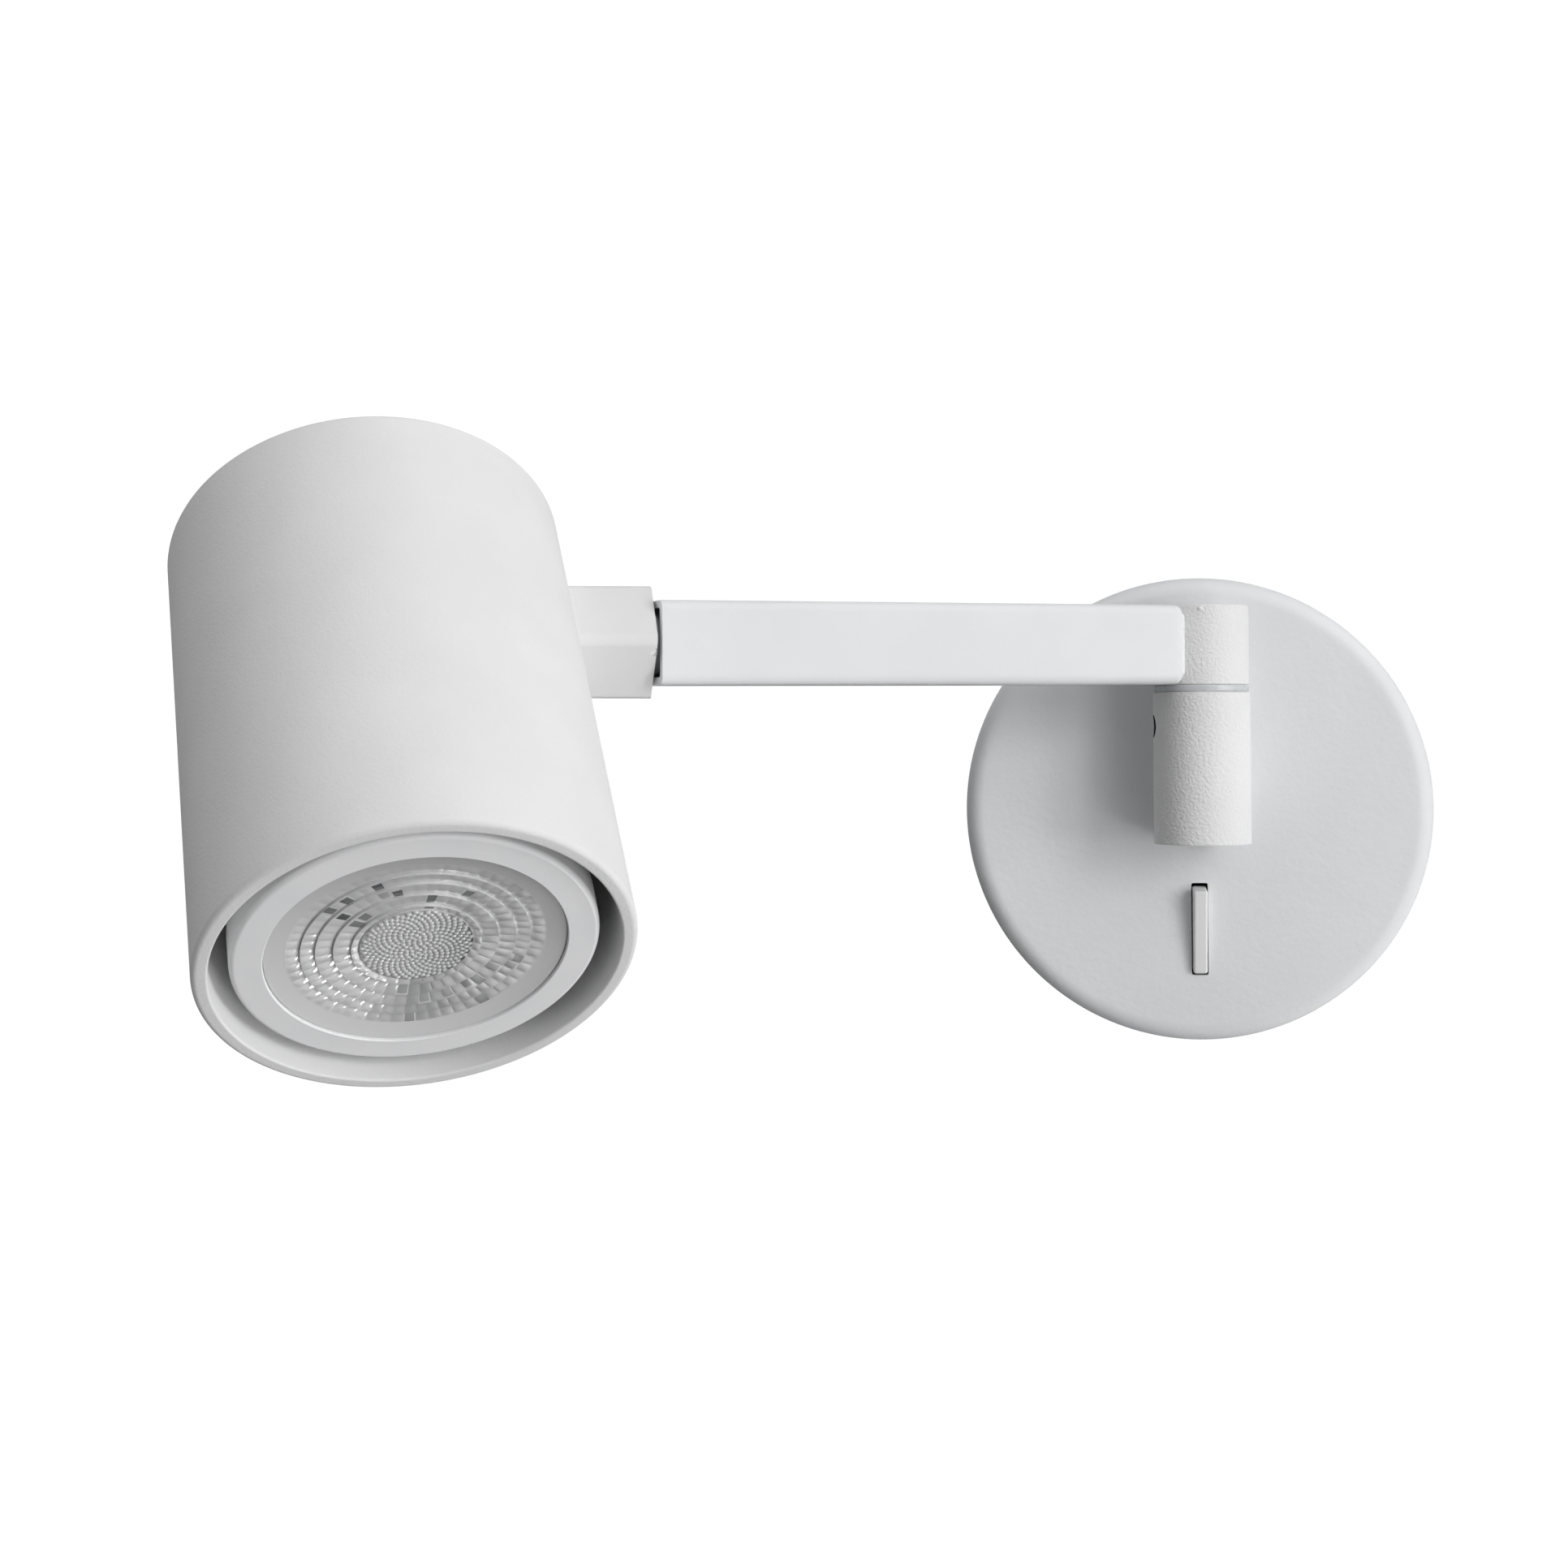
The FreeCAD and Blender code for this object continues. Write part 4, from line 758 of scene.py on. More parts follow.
# %% Chip in the paint
CHIP = {"size": 1.25, "down": 1.6, "in": 0.1, "back": 0.35, "turns": (0.7, 0.5)}
chip = block("chip", (-0.5, -0.5, -0.5), (0.5, 0.5, 0.5))
chip_place = near_way * (corner_reach - CHIP["in"] - CHIP["down"]) - up_way * CHIP["down"]
chip.matrix_world = (Matrix.Translation((chip_place + Vector((stub_start + CHIP["back"], 0, 0))) * MM)
                     @ Matrix.Rotation(CHIP["turns"][0], 4, "Z") @ Matrix.Rotation(CHIP["turns"][1], 4, "X")
                     @ Matrix.Scale(CHIP["size"], 4))
settle(chip)
cut(stub, chip)
finish(stub, head_place, "head", "head_stub")
stub.data.materials.append(coat_stub_shaded)

# %% [markdown]
# The head is a deep cup with a rounded lip in front and a small edge radius at the back.
# Two bosses inside its back carry the lamp holder, and the lead enters through a port behind the stub.

# %% Head housing
HEAD_WALL = 2.2
HEAD_STEPS = 256
RIM_OUT_R = 0.85
RIM_IN_R = 0.35
FRONT_GROW = 0.25
HEAD_BACK = 2.0
BACK_EDGE = 1.0
BACK_GUARD = 1.5
INNER_EDGE = 0.6
INNER_GUARD = 0.8
low, high = own_box("head_housing", head_place)
front_z, back_z = low.z - FRONT_GROW, high.z
inner = head_r - HEAD_WALL
floor_z = back_z - HEAD_BACK
outline = [(0, back_z), (head_r - BACK_EDGE - GUARD, back_z)]
outline += arc(head_r - BACK_EDGE, back_z - BACK_EDGE, BACK_EDGE, 90, 0, 6)
outline += [(head_r, back_z - BACK_EDGE - BACK_GUARD), (head_r, front_z + RIM_OUT_R + GUARD)]
outline += arc(head_r - RIM_OUT_R, front_z + RIM_OUT_R, RIM_OUT_R, 0, -90, 10)
outline += arc(inner + RIM_IN_R, front_z + RIM_IN_R, RIM_IN_R, -90, -180, 5)
outline += [(inner, front_z + RIM_IN_R + GUARD), (inner, floor_z - INNER_GUARD)]
outline += arc(inner - INNER_EDGE, floor_z - INNER_EDGE, INNER_EDGE, 0, 90, 3) + [(0, floor_z)]
housing = lathe("head_housing_shell", outline, HEAD_STEPS)

# %% Bosses and port of the head
STUD_R = 3.5
STUD_Y = 17.5
# How far a stud starts inside the back, and how far its end lies behind the front of the screws' heads
STUD_SUNK = 0.5
STUD_BEHIND_HEADS = 3.2
PORT_R = 3.5
stud_end = own_box("bracket_screws", head_place)[0].z + STUD_BEHIND_HEADS
for side in (-1, 1):
    stud = rod("stud", STUD_R, stud_end, floor_z + STUD_SUNK, "Z", 48)
    stud.location.y = side * STUD_Y * MM
    cut(housing, stud, "UNION")
cut(housing, rod("wire_port", PORT_R, -head_r - OVER, -inner / 2, "X", 48))
finish(housing, head_place, "head", "head_housing")
housing.data.materials.append(coat_head)

# %% [markdown]
# The lamp is a 50 mm reflector lamp with a white plastic body. Only its flat ring shows from the room.
# The body is turned as one shell with the pocket for the lens, the board chamber and the cap.

# %% Lamp body
LENS_R = 20.5
LENS_T = 3.0
# Room round the lens and round the board
FIT = 0.05
POCKET_EDGE = 0.15
RING_EDGE = 0.8
# The ring's side and its bevelled back: how far in, and how far from the front
RING_BACK = ((0, 5.5), (1.2, 6.3))
# Radius of the waist and its distance from the front, radius of the neck and its distance from the cap's end
WAIST = (22.0, 16.0)
NECK = (13.0, 11.0)
NECK_BLEND = (0.5, 0.6)
NECK_CHAMFER = 0.4
low, high = own_box("lamp_housing", head_place)
lamp_front = low.z - FRONT_GROW
lamp_end = high.z
ring_r = high.x
board_high = own_box("lamp_board", head_place)[1]
chamber_r = board_high.x + FIT
pocket_r = LENS_R + FIT
neck_z = lamp_end - NECK[1]
outline = [(0, board_high.z), (chamber_r, board_high.z), (chamber_r, lamp_front + LENS_T)]
outline += [(pocket_r, lamp_front + LENS_T), (pocket_r, lamp_front + POCKET_EDGE)]
outline += [(pocket_r + POCKET_EDGE, lamp_front)]
outline += arc(ring_r - RING_EDGE, lamp_front + RING_EDGE, RING_EDGE, -90, 0, 6)
outline += [(ring_r - inward, lamp_front + height) for inward, height in RING_BACK]
outline += [(WAIST[0], lamp_front + WAIST[1]), (NECK[0] + NECK_BLEND[0], neck_z - NECK_BLEND[1])]
outline += [(NECK[0], neck_z + NECK_BLEND[1]), (NECK[0], lamp_end - NECK_CHAMFER)]
outline += [(NECK[0] - NECK_CHAMFER, lamp_end), (0, lamp_end)]
lamp_shell = lathe("lamp_body", outline, HEAD_STEPS)
finish(lamp_shell, head_place, "lamp", "lamp_housing")

# %% [markdown]
# The lens is one clear moulding: a sloping flange, five rings of small pillow-shaped facets
# with a low step round each, and an eye of tiny domes. Facets and domes could be modelled one by one,
# but they follow simple rules, so the lens is turned with a fine net of corners, and formulas lift those.

# %% Lens blank
LENS_STEPS = 480
RING_EDGES = (17.6, 15.6, 13.6, 11.2, 8.8, 7.7)
FLANGE_R = RING_EDGES[0]
EYE_R = RING_EDGES[-1]
LENS_SINK = 0.4
LENS_BEVEL = 0.8
LENS_CHAMFER = 0.2
LENS_LIP = 0.15
FLANGE_FOOT = (0.25, 0.05)
FACETS = (60, 60, 48, 40, 32)
FACET_ROWS = 6
RING_STEP = 0.4
STEP_WIDTH = 0.03
EYE_ROWS = 56
EYE_SINK = 0.15

low_z = lamp_front + LENS_SINK + LENS_BEVEL
outline = [(0, lamp_front + LENS_T), (LENS_R - LENS_CHAMFER, lamp_front + LENS_T)]
outline += [(LENS_R, lamp_front + LENS_T - LENS_CHAMFER), (LENS_R, lamp_front + LENS_SINK + LENS_CHAMFER)]
outline += [(LENS_R - LENS_LIP, lamp_front + LENS_SINK)]
outline += [(FLANGE_R + FLANGE_FOOT[0], low_z - FLANGE_FOOT[1])]
for outer_edge, inner_edge in zip(RING_EDGES, RING_EDGES[1:]):
    for row in range(FACET_ROWS + 1):
        share = row / FACET_ROWS
        reach = outer_edge + share * (inner_edge - outer_edge) + (STEP_WIDTH if row == FACET_ROWS else 0)
        outline.append((reach, low_z + RING_STEP * share))
for row in range(EYE_ROWS + 1):
    outline.append((EYE_R * (1 - row / EYE_ROWS), low_z + EYE_SINK))
lens = lathe("lamp_lens_moulding", outline, LENS_STEPS)

# %% [markdown]
# The domes of the eye are set out like the seeds of a sunflower: each is turned from the last one
# by the golden angle, and stands a little further out. To find the domes near a spot quickly,
# they are sorted into square cells one millimetre wide.

# %% Domes of the eye
SEED_COUNT = 330
SEED_R = 0.46
SEED_H = 0.2
SEED_MARGIN = 0.2
GOLDEN_TURN = math.pi * (3 - math.sqrt(5))
cells = {}
for seed in range(SEED_COUNT):
    reach = (EYE_R - SEED_MARGIN) * math.sqrt((seed + 0.5) / SEED_COUNT)
    seed_x, seed_y = reach * math.cos(seed * GOLDEN_TURN), reach * math.sin(seed * GOLDEN_TURN)
    cells.setdefault((round(seed_x), round(seed_y)), []).append((seed_x, seed_y))


def seed_height(x, y):
    """Height of the domes at a spot of the eye."""
    best = 0.0
    for cell_x in (-1, 0, 1):
        for cell_y in (-1, 0, 1):
            for seed_x, seed_y in cells.get((round(x) + cell_x, round(y) + cell_y), ()):
                gap = ((x - seed_x) ** 2 + (y - seed_y) ** 2) / SEED_R ** 2
                best = max(best, 1 - gap)
    return SEED_H * best


print("domes", SEED_COUNT, "in", len(cells), "cells")

# %% [markdown]
# Real facets mirror the room by total reflection. The room is not built here, so each facet carries its own
# painted reflection, as a tone. The facets look calm at the upper left and lively elsewhere. Some panes at the top
# and the upper left are painted dark, some at the lower right are painted dim, and painted highlights stand as
# bright wedges at the lower left.
# Turns are counted from the side away from the arm, over the top of the lens as the photograph shows it.

# %% Kinds of facets
# How lively the facets are, and how bright their painted reflections look, at each turn of the lens: turn in
# degrees and amount
LIVELY = ((0, 0.6), (25, 0.25), (100, 0.25), (135, 0.9), (245, 0.9), (265, 0.4), (290, 0.7), (310, 1.0),
          (345, 0.9), (360, 0.6))
PAINTED_REFLECTION = ((0, 1.0), (30, 0.83), (60, 0.76), (90, 0.8), (130, 0.74), (190, 0.93), (240, 0.74), (265, 0.48),
          (290, 0.88), (320, 1.0), (360, 1.0))
TONE_VARIES = 0.15
# Dark and dim panes are painted reflections; they are given by their ring, from the outside, and their number in
# it
DARK_REFLECTION_PANES = {(1, 5), (1, 7), (1, 10), (2, 4), (3, 3), (3, 4), (2, 9), (3, 10), (4, 8), (2, 15)}
DIM_REFLECTION_PANES = {(2, 8), (2, 30), (2, 29), (1, 32), (1, 33), (2, 32), (2, 34), (3, 30), (2, 27), (0, 38), (0, 44)}
DARK_REFLECTION_TONES = (0.05, 0.3)
DIM_REFLECTION_TONES = (0.4, 0.55)


def at_turn(table, turn_deg):
    """Value at a turn of the lens, between the listed turns."""
    for (start, start_value), (end, end_value) in zip(table, table[1:]):
        if turn_deg <= end:
            break
    return start_value + (end_value - start_value) * (turn_deg - start) / (end - start)


chance = random.Random(7)
facet_kinds = {}
for ring, count in enumerate(FACETS):
    for number in range(count):
        turn_deg = 360 * (number + 0.5) / count
        lively = at_turn(LIVELY, turn_deg)
        # The tone is the facet's painted reflection: its brightness by turn, less a little at random, or a dark or
        # dim pane
        tone = at_turn(PAINTED_REFLECTION, turn_deg) - TONE_VARIES * lively * chance.random()
        if (ring, number) in DARK_REFLECTION_PANES:
            tone = chance.uniform(*DARK_REFLECTION_TONES)
        if (ring, number) in DIM_REFLECTION_PANES:
            tone = chance.uniform(*DIM_REFLECTION_TONES)
        facet_kinds[ring, number] = (tone, lively, chance.uniform(-1, 1), chance.uniform(-1, 1))
print("facets", len(facet_kinds))

# %% [markdown]
# Each corner of the net asks which facet it lies on, and how far from its middle.
# A facet is a pillow that leans a little its own way, and is flatter where the facets look calm.

# %% Lifting the corners
FACET_BULGE = 0.2
FACET_TILT = 0.14
FULL_TURN = 2 * math.pi


def facet_at(x, y):
    """Ring and number of the facet at a spot, and the place across and along it, from -1 to 1."""
    reach = math.hypot(x, y)
    ring = 0
    while ring < len(FACETS) - 1 and reach < RING_EDGES[ring + 1]:
        ring += 1
    across = 2 * (RING_EDGES[ring] - reach) / (RING_EDGES[ring] - RING_EDGES[ring + 1]) - 1
    turn = math.atan2(y, x) % FULL_TURN / FULL_TURN * FACETS[ring]
    number = int(turn) % FACETS[ring]
    return ring, number, across, 2 * (turn - math.floor(turn)) - 1


def facet_height(x, y):
    """Height of a pillow facet: full in its middle and nothing along its edges."""
    ring, number, across, along = facet_at(x, y)
    lively, lean_across, lean_along = facet_kinds[ring, number][1:]
    pillow = max(0.0, 1 - across ** 2) * (1 - along ** 2)
    leaning = FACET_TILT * (lean_across * across + lean_along * along)
    return pillow * lively * (FACET_BULGE + leaning)


front_limit = low_z + RING_STEP + TOUCH
lifted = 0
for vert in lens.data.vertices:
    x, y, z = vert.co / MM
    reach = math.hypot(x, y)
    if z > front_limit or reach > FLANGE_R:
        continue
    rise = seed_height(x, y) if reach < EYE_R - TOUCH else facet_height(x, y)
    vert.co.z -= rise * MM
    lifted += 1
print("lens corners lifted", lifted)

# %% [markdown]
# The painted reflection of each face, and where it glints, are written on the faces of the net as two attributes,
# which the lens's material reads. A dark or dim pane is framed in a lighter tone, painted light as in the edges of
# a real facet.

# %% Painted reflections of the lens
# Tone of the flange's painted reflection, and how much a facet is painted lighter on one side and shaded on the
# other
FLANGE_TONE = 0.83
FACET_PAINTED_SHADE = 0.12
# Half the size of a pane inside its frame, across the ring and along it, and how far it may drift
PANE_HALF = (0.72, 0.8)
PANE_DRIFT = 0.25
FRAME_PAINTED_LIGHT = 0.8
# The wedges, painted highlights: turns between which they stand, how many rings have them, and the line where one
# starts
WEDGE_TURNS = (288, 348)
WEDGE_RINGS = 3
WEDGE_SLANT = 0.8
WEDGE_START = 0.1
WEDGE_VARIES = 0.5
# Painted shade: between its domes the eye is darker, more so on the side of the arm
EYE_TONE = 0.79
EYE_GAP_SHADE = 0.25
EYE_SIDE_SHADE = 0.5
EYE_SHADED_SIDE_DEG = 10


def facet_look(x, y):
    """Painted reflection tone of a spot on a facet, and 1 where a painted highlight stands."""
    ring, number, across, along = facet_at(x, y)
    tone, lively, lean_across, lean_along = facet_kinds[ring, number]
    # Painted reflections: a dark or dim pane gets a frame of painted light along its edges
    if (ring, number) in DARK_REFLECTION_PANES | DIM_REFLECTION_PANES:
        beyond_across = abs(across + PANE_DRIFT * lean_across) > PANE_HALF[0]
        beyond_along = abs(along + PANE_DRIFT * lean_along) > PANE_HALF[1]
        if beyond_across or beyond_along:
            tone = FRAME_PAINTED_LIGHT
    # Painted shade and light: each facet is darker on one side and lighter on the other, by its lean
    tone += FACET_PAINTED_SHADE * lively * (lean_across * across + lean_along * along)
    turn_deg = math.degrees(math.atan2(y, x)) % 360
    # A painted highlight: in a wedge the spot is set full white
    in_wedge = across + WEDGE_SLANT * along > WEDGE_START + WEDGE_VARIES * lean_across
    if ring < WEDGE_RINGS and WEDGE_TURNS[0] < turn_deg < WEDGE_TURNS[1] and in_wedge:
        return 1.0, 1.0
    return tone, 0.0


def eye_look(x, y):
    """Tone of a spot of the eye: full on top of a dome, with painted shade between the domes and on one side; the
    eye has no painted highlights.
    """
    way = math.radians(EYE_SHADED_SIDE_DEG)
    side = max(0.0, -(x * math.cos(way) + y * math.sin(way)) / EYE_R)
    return EYE_TONE - (EYE_GAP_SHADE + EYE_SIDE_SHADE * side) * (1 - seed_height(x, y) / SEED_H), 0.0


painted_reflection_tones = lens.data.attributes.new("facet_tone", "FLOAT", "FACE")
painted_glints = lens.data.attributes.new("facet_glint", "FLOAT", "FACE")
for face in lens.data.polygons:
    x, y, z = face.center / MM
    reach = math.hypot(x, y)
    tone, glint = FLANGE_TONE, 0.0
    if z < front_limit and EYE_R < reach < FLANGE_R:
        tone, glint = facet_look(x, y)
    elif z < front_limit and reach < EYE_R:
        tone, glint = eye_look(x, y)
    painted_reflection_tones.data[face.index].value = max(0.0, min(1.0, tone))
    painted_glints.data[face.index].value = glint
print("glinting faces", sum(1 for row in painted_glints.data if row.value > 0))
finish(lens, head_place, "lamp", "lamp_lens", smooth=24, weighted=False)

# %% [markdown]
# The rocker is a thin painted paddle, tipped so that its upper end stands out.
# A block is drawn in its own frame with its pin at the origin, tapered behind and rounded in front.
# Its foot is a little shorter than its head, which leaves the thin dark gap below it.

# %% Switch rocker
ROCKER = {"width": 2.4, "height": 14.7, "front": 4.2, "depth": 3.2, "back": 0.3, "heel": 4.1, "tilt": 7.5,
          "edge": 0.42, "foot_gap": 0.22, "pin_hole": 0.65}
half_width = ROCKER["width"] / 2
half_height = ROCKER["height"] / 2
rocker = block("switch_rocker_paddle", (-half_width, -ROCKER["front"], -half_height),
               (half_width, ROCKER["back"], half_height))
edit(rocker, "FACE")
choose("faces", lambda face: face.normal.y > NEARLY)
heel_way = (0, (ROCKER["depth"] - ROCKER["back"]) * MM, 0)
bpy.ops.mesh.extrude_region_move(TRANSFORM_OT_translate={"value": heel_way})
bpy.ops.transform.resize(value=(1, 1, ROCKER["heel"] / ROCKER["height"]))
leave()


def on_paddle_front(edge):
    """True for the edges round the paddle's front, and for the short ones at its upper and lower end."""
    in_front = all(vert.co.y / MM < -ROCKER["front"] + TOUCH for vert in edge.verts)
    at_an_end = abs(middle(edge).z / MM) > half_height - TOUCH
    return in_front or (at_an_end and runs_along(edge, "y"))


round_edges(rocker, on_paddle_front, ROCKER["edge"], 5)
for vert in rocker.data.vertices:
    vert.co.z += (SLOT_RISE + (ROCKER["foot_gap"] if vert.co.z < 0 else 0)) * MM
cut(rocker, rod("pin_hole", ROCKER["pin_hole"], -half_width - OVER, half_width + OVER, "X", 32))
tilt = Matrix.Rotation(math.radians(ROCKER["tilt"]), 4, "X")
rocker_place = Matrix.Translation(joint_place("switch_rock")) @ tilt
finish(rocker, rocker_place, "rocker", "switch_rocker")
rocker.data.materials.append(coat_rocker)

# %% [markdown]
# The other finishes belong to pieces that show only behind the canopy, in the gaps and inside the head.
# The metals come first: plated steel, black steel, brass and nickel.
# Each starts from the typical colour and roughness of the real metal, with a faint cloud and a fine grain.

# %% Metals
METAL_CLOUD_MM = 6.0
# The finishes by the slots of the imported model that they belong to
finishes = {"powder_coat": coat_arm, "rocker_paint": coat_rocker}


def metal(slot, name, light, dark, rough, grain):
    """Plated or blackened metal with a fine uneven skin; grain is its width and depth in millimetres."""
    plate, skin, place = blank(name)
    grains = noise(plate, place, grain[0], 4.0)
    cloud = noise(plate, place, METAL_CLOUD_MM, 3.0)
    wire(plate, tint(plate, spread(plate, cloud, 0.0, 1.0), dark, light), skin, "Base Color")
    wire(plate, spread(plate, grains, *rough), skin, "Roughness")
    wire(plate, bump(plate, grains, grain[1]), skin, "Normal")
    skin.inputs["Metallic"].default_value = 1.0
    finishes[slot] = plate
    print("metal", name)


# Zinc-plated pressed steel: a bluish grey bloom, half dull
metal("zinc_steel", "zinc_plated_steel", "D2D4D6", "B9BCC2", rough=(0.28, 0.42), grain=(0.5, 0.004))
# Bright zinc screws: smoother than the pressed parts
metal("steel_screw", "bright_zinc_screw", "D8D9DA", "BFC1C4", rough=(0.2, 0.32), grain=(0.4, 0.002))
# Black oxide steel of the set screws
metal("dark_screw", "black_oxide_steel", "3A3A3C", "2A2A2C", rough=(0.35, 0.5), grain=(0.3, 0.002))
# Turned brass, lightly tarnished
metal("brass", "turned_brass", "D9B46A", "BE9448", rough=(0.22, 0.36), grain=(0.6, 0.002))
# Nickel-plated pins of the lamp cap
metal("nickel", "nickel_plate", "D6D1C6", "C2BCB0", rough=(0.16, 0.26), grain=(0.5, 0.002))

# %% [markdown]
# Plastics, rubber and ceramic share one recipe too. What sets them apart is how much light soaks in
# before it comes back, so nylon looks milky and rubber doesn't.

# %% Plastics, rubber and ceramic
MOULD_CLOUD_MM = 8.0
MOULD_ROUGH_VARIES = 0.05


def moulded(slot, name, light, dark, rough, grain, index, soak=(0.0, 0.0)):
    """Moulded or glazed material; soak is how much light enters it, and how deep in millimetres."""
    stuff, skin, place = blank(name)
    grains = noise(stuff, place, grain[0], 3.0)
    cloud = noise(stuff, place, MOULD_CLOUD_MM, 2.0)
    wire(stuff, tint(stuff, spread(stuff, cloud, 0.0, 1.0), dark, light), skin, "Base Color")
    rough_range = (rough - MOULD_ROUGH_VARIES, rough + MOULD_ROUGH_VARIES)
    wire(stuff, spread(stuff, grains, *rough_range), skin, "Roughness")
    wire(stuff, bump(stuff, grains, grain[1]), skin, "Normal")
    skin.inputs["IOR"].default_value = index
    skin.inputs["Subsurface Weight"].default_value = soak[0]
    skin.inputs["Subsurface Scale"].default_value = soak[1] * MM
    finishes[slot] = stuff
    print("moulded", name)


# Satin polycarbonate of the lamp body: even, slightly glossy white
moulded("lamp_white", "satin_polycarbonate", "F8F8F9", "F4F5F6", rough=0.42, grain=(0.6, 0.003), index=1.58)
# Nylon washers: milky and a little translucent
moulded("nylon", "natural_nylon", "D4D5D7", "CCCDD0", rough=0.3, grain=(0.8, 0.004), index=1.53,
        soak=(0.15, 0.8))
# EPDM rubber of the grommet: dull black
moulded("rubber", "epdm_rubber", "262626", "1E1E1F", rough=0.75, grain=(0.4, 0.006), index=1.5)
# Glass-filled polyamide of the terminal block: milky off-white
moulded("block_plastic", "polyamide_terminal", "E4E1D6", "D9D5C8", rough=0.45, grain=(0.7, 0.004), index=1.53,
        soak=(0.2, 0.6))
# Black polyamide of the switch body
moulded("switch_plastic", "black_polyamide", "1D1D1F", "161617", rough=0.5, grain=(0.5, 0.004), index=1.53)
# White silicone sleeve of the leads
moulded("cable_sleeve", "silicone_sleeve", "E9E8E3", "E0DFDA", rough=0.55, grain=(0.6, 0.006), index=1.43)
# Steatite of the lamp holder: unglazed, warm white and dull
moulded("ceramic", "steatite_ceramic", "EDE9DF", "E2DDD0", rough=0.5, grain=(0.35, 0.006), index=1.6)
# White solder mask of the lamp's board
moulded("board_white", "white_solder_mask", "F8F8F8", "F2F3F3", rough=0.35, grain=(0.9, 0.002), index=1.55)
# Phosphor over the light source: pale cream when it is off
moulded("phosphor", "silicone_phosphor", "F3F1E6", "EEEBDC", rough=0.4, grain=(0.5, 0.003), index=1.43)

# %% [markdown]
# The lens is moulded PMMA, all but colourless, with an index of 1.49 and a trace of haze from the mould.
# Behind its facets, total reflection sends most of the light back, so it looks silvery and not clear.
# A pale body under a clear skin does the same here: a sixth of the light goes through, and the wedges, whose pale
# body is painted white as a highlight, mirror a quarter of it instead.

# %% Clear lens
HAZE_MM = 3.0
HAZE_ROUGH = (0.08, 0.14)
LENS_THROUGH = 0.16
WEDGE_MIRROR = 0.25
LENS_INDEX = 1.49
LENS_SKIN_ROUGH = 0.08
lamp_clear, skin, place = blank("clear_pmma")
haze = noise(lamp_clear, place, HAZE_MM, 2.0)
tone = add(lamp_clear, "ShaderNodeAttribute", attribute_name="facet_tone").outputs["Fac"]
wire(lamp_clear, spread(lamp_clear, haze, *HAZE_ROUGH), skin, "Roughness")
glint = add(lamp_clear, "ShaderNodeAttribute", attribute_name="facet_glint").outputs["Fac"]
# The pale body carries the painted reflection: dark panes towards grey, bright facets and painted highlights white
wire(lamp_clear, tint(lamp_clear, tone, "4E5052", "FFFFFF"), skin, "Base Color")
wire(lamp_clear, spread(lamp_clear, glint, LENS_THROUGH, 0.0, 0.0, 1.0), skin, "Transmission Weight")
wire(lamp_clear, spread(lamp_clear, glint, 0.0, WEDGE_MIRROR, 0.0, 1.0), skin, "Metallic")
skin.inputs["IOR"].default_value = LENS_INDEX
skin.inputs["Coat Weight"].default_value = 1.0
skin.inputs["Coat Roughness"].default_value = LENS_SKIN_ROUGH
finishes["lamp_clear"] = lamp_clear
print("lens material", lamp_clear.name)

# %% [markdown]
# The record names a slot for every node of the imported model. Nodes that were not replaced keep their mesh,
# and get the finish of their slot.

# %% Give every piece its finish
for piece, slot in ((washer, "nylon"), (lamp_shell, "lamp_white"), (lens, "lamp_clear")):
    piece.data.materials.append(finishes[slot])
for part in frame["record"]["subparts"]:
    node = frame["nodes"][part["node"]]
    node.material_slots[0].material = finishes[part["material_slot"]]
print("finishes", sorted(finishes))

# %% [markdown]
# The studio is a white floor far below the lamp and a white surround. The camera sees both as pure white,
# as in the photograph, but they add next to no light: the lamps do that, and the floor lets them through.

# %% Floor and surround
FLOOR_Z = -0.32
FLOOR_SIZE = 60
PAPER_CLOUD_MM = 300.0
WHITE = colour("FFFFFF")
SEEN_STRENGTH = 1.05
FILL_STRENGTH = 0.01
bpy.ops.object.select_all(action="DESELECT")
bpy.ops.mesh.primitive_plane_add(size=FLOOR_SIZE, location=(0, 0, FLOOR_Z))
floor = bpy.context.object
floor.name = "floor"
# White paper: matt, and lit from inside so that it stays white wherever the camera stands
paper, skin, place = blank("white_paper")
wire(paper, tint(paper, noise(paper, place, PAPER_CLOUD_MM), "FBFBFB", "FFFFFF"), skin, "Base Color")
skin.inputs["Emission Color"].default_value = WHITE
skin.inputs["Emission Strength"].default_value = 1.0
floor.data.materials.append(paper)
floor.visible_diffuse = False
floor.visible_glossy = False
floor.visible_transmission = False
floor.visible_shadow = False

surround = bpy.data.worlds.new("surround")
bpy.context.scene.world = surround
surround.use_nodes = True
surround.node_tree.nodes.clear()
seen = add(surround, "ShaderNodeBackground", {"Color": WHITE, "Strength": SEEN_STRENGTH})
fill = add(surround, "ShaderNodeBackground", {"Color": WHITE, "Strength": FILL_STRENGTH})
rays = add(surround, "ShaderNodeLightPath")
mix = add(surround, "ShaderNodeMixShader", {
    "Fac": rays.outputs["Is Camera Ray"], 1: fill.outputs["Background"], 2: seen.outputs["Background"]})
add(surround, "ShaderNodeOutputWorld", {"Surface": mix.outputs["Shader"]})
print("floor at", FLOOR_Z, "surround", surround.name)

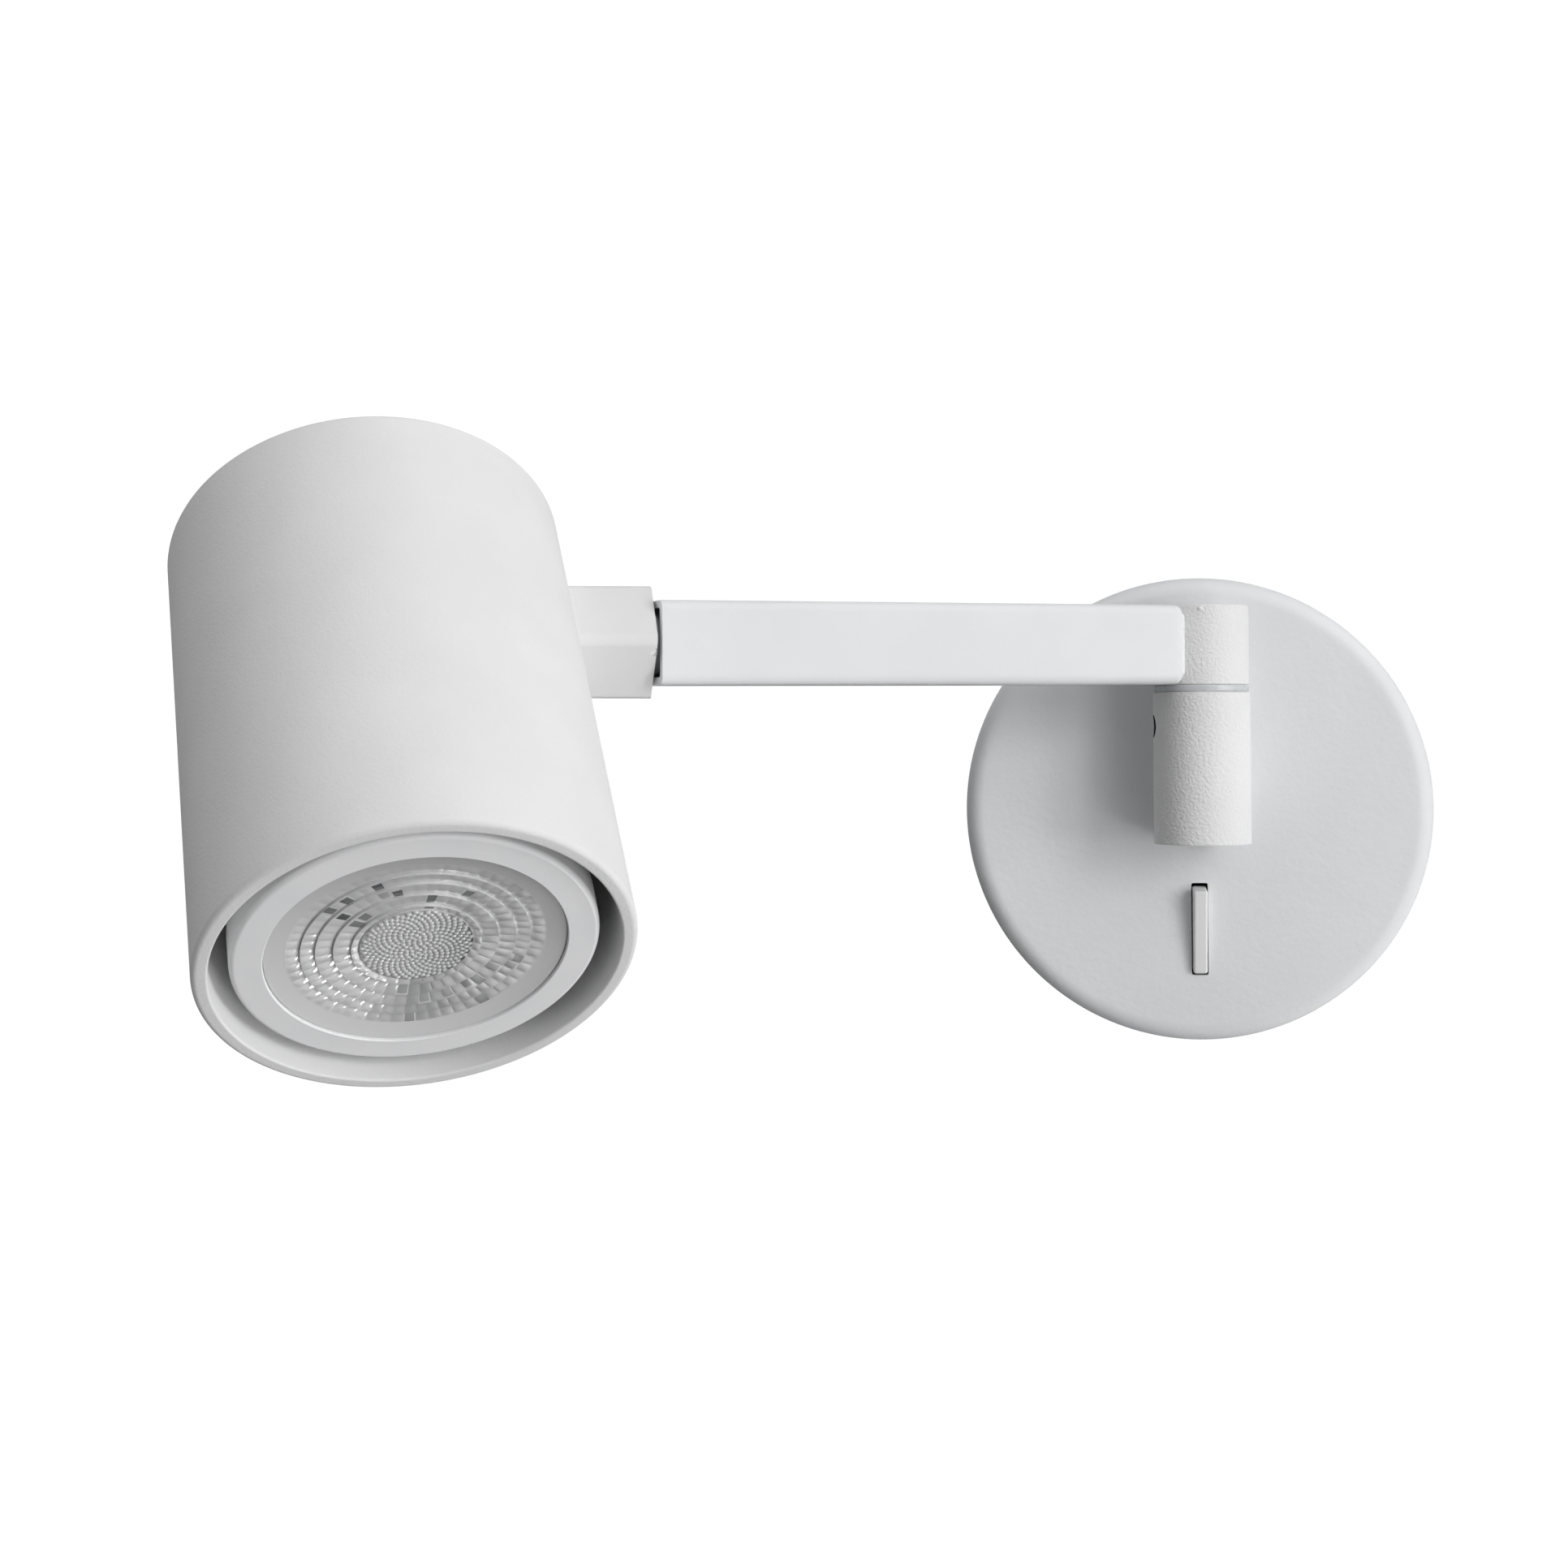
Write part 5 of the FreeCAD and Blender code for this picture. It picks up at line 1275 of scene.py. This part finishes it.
# %% [markdown]
# Three small key lamps stand to the right, from a little above the lamp's height to a little below it,
# as the bright right sides and the crisp shadows to the left of post and rocker show.
# Wide ones all round, also above the lamp and below the floor, soften those shadows. A small one low
# on the right stands where the bright wedges of the lens mirror it and the sloping flange doesn't.

# %% Lights
LIGHT_TARGET = Vector((-0.06, -0.05, 0.01))
LIGHT_DISTANCE = 1.0
# Azimuth to the right of straight in front and elevation, in degrees, then side in metres and power in watts
LIGHTS = {
    "key": (50, 15, 0.3, 2.56),
    "key_side": (62, 0, 0.3, 2.45),
    "key_low": (40, -20, 0.3, 1.43),
    "side_low": (75, -15, 0.3, 0.12),
    "right": (65, 0, 0.7, 0.21),
    "front_right": (35, 0, 0.7, 0.47),
    "front_high": (30, 35, 0.7, 1.48),
    "front_left": (-30, 0, 0.7, 0.60),
    "left": (-70, 0, 0.7, 1.36),
    "left_high": (-45, 35, 0.7, 0.78),
    "right_back": (130, 35, 0.7, 0.77),
    "above": (0, 88, 0.7, 4.06),
    "below": (0, -75, 0.7, 0.20),
    "glint": (110, -62, 0.22, 1.3),
    "below_right": (45, -38, 0.7, 0.82),
    "below_side": (90, -38, 0.7, 0.8),
    "below_back": (135, -38, 0.7, 1.26),
    "back": (180, 15, 1.0, 3.0),
    "back_left": (-130, 20, 0.8, 0.9),
}
for name, (azimuth, elevation, size, power) in LIGHTS.items():
    turn = math.radians(azimuth)
    rise = math.radians(elevation)
    way = Vector((math.sin(turn) * math.cos(rise), -math.cos(turn) * math.cos(rise), math.sin(rise)))
    bpy.ops.object.light_add(type="AREA", location=LIGHT_TARGET + way * LIGHT_DISTANCE)
    lamp = bpy.context.object
    lamp.name = "light_" + name
    lamp.rotation_euler = way.to_track_quat("Z", "Y").to_euler()
    lamp.data.shape = "SQUARE"
    lamp.data.size = size
    lamp.data.energy = power
    lamp.visible_camera = False
print("lights", sorted(LIGHTS))

# %% [markdown]
# The picture is shown as it is counted, without a film look, because the whites are matched to a photograph.

# %% Picture settings
bpy.context.scene.view_settings.view_transform = "Standard"
bpy.context.scene.view_settings.look = "None"
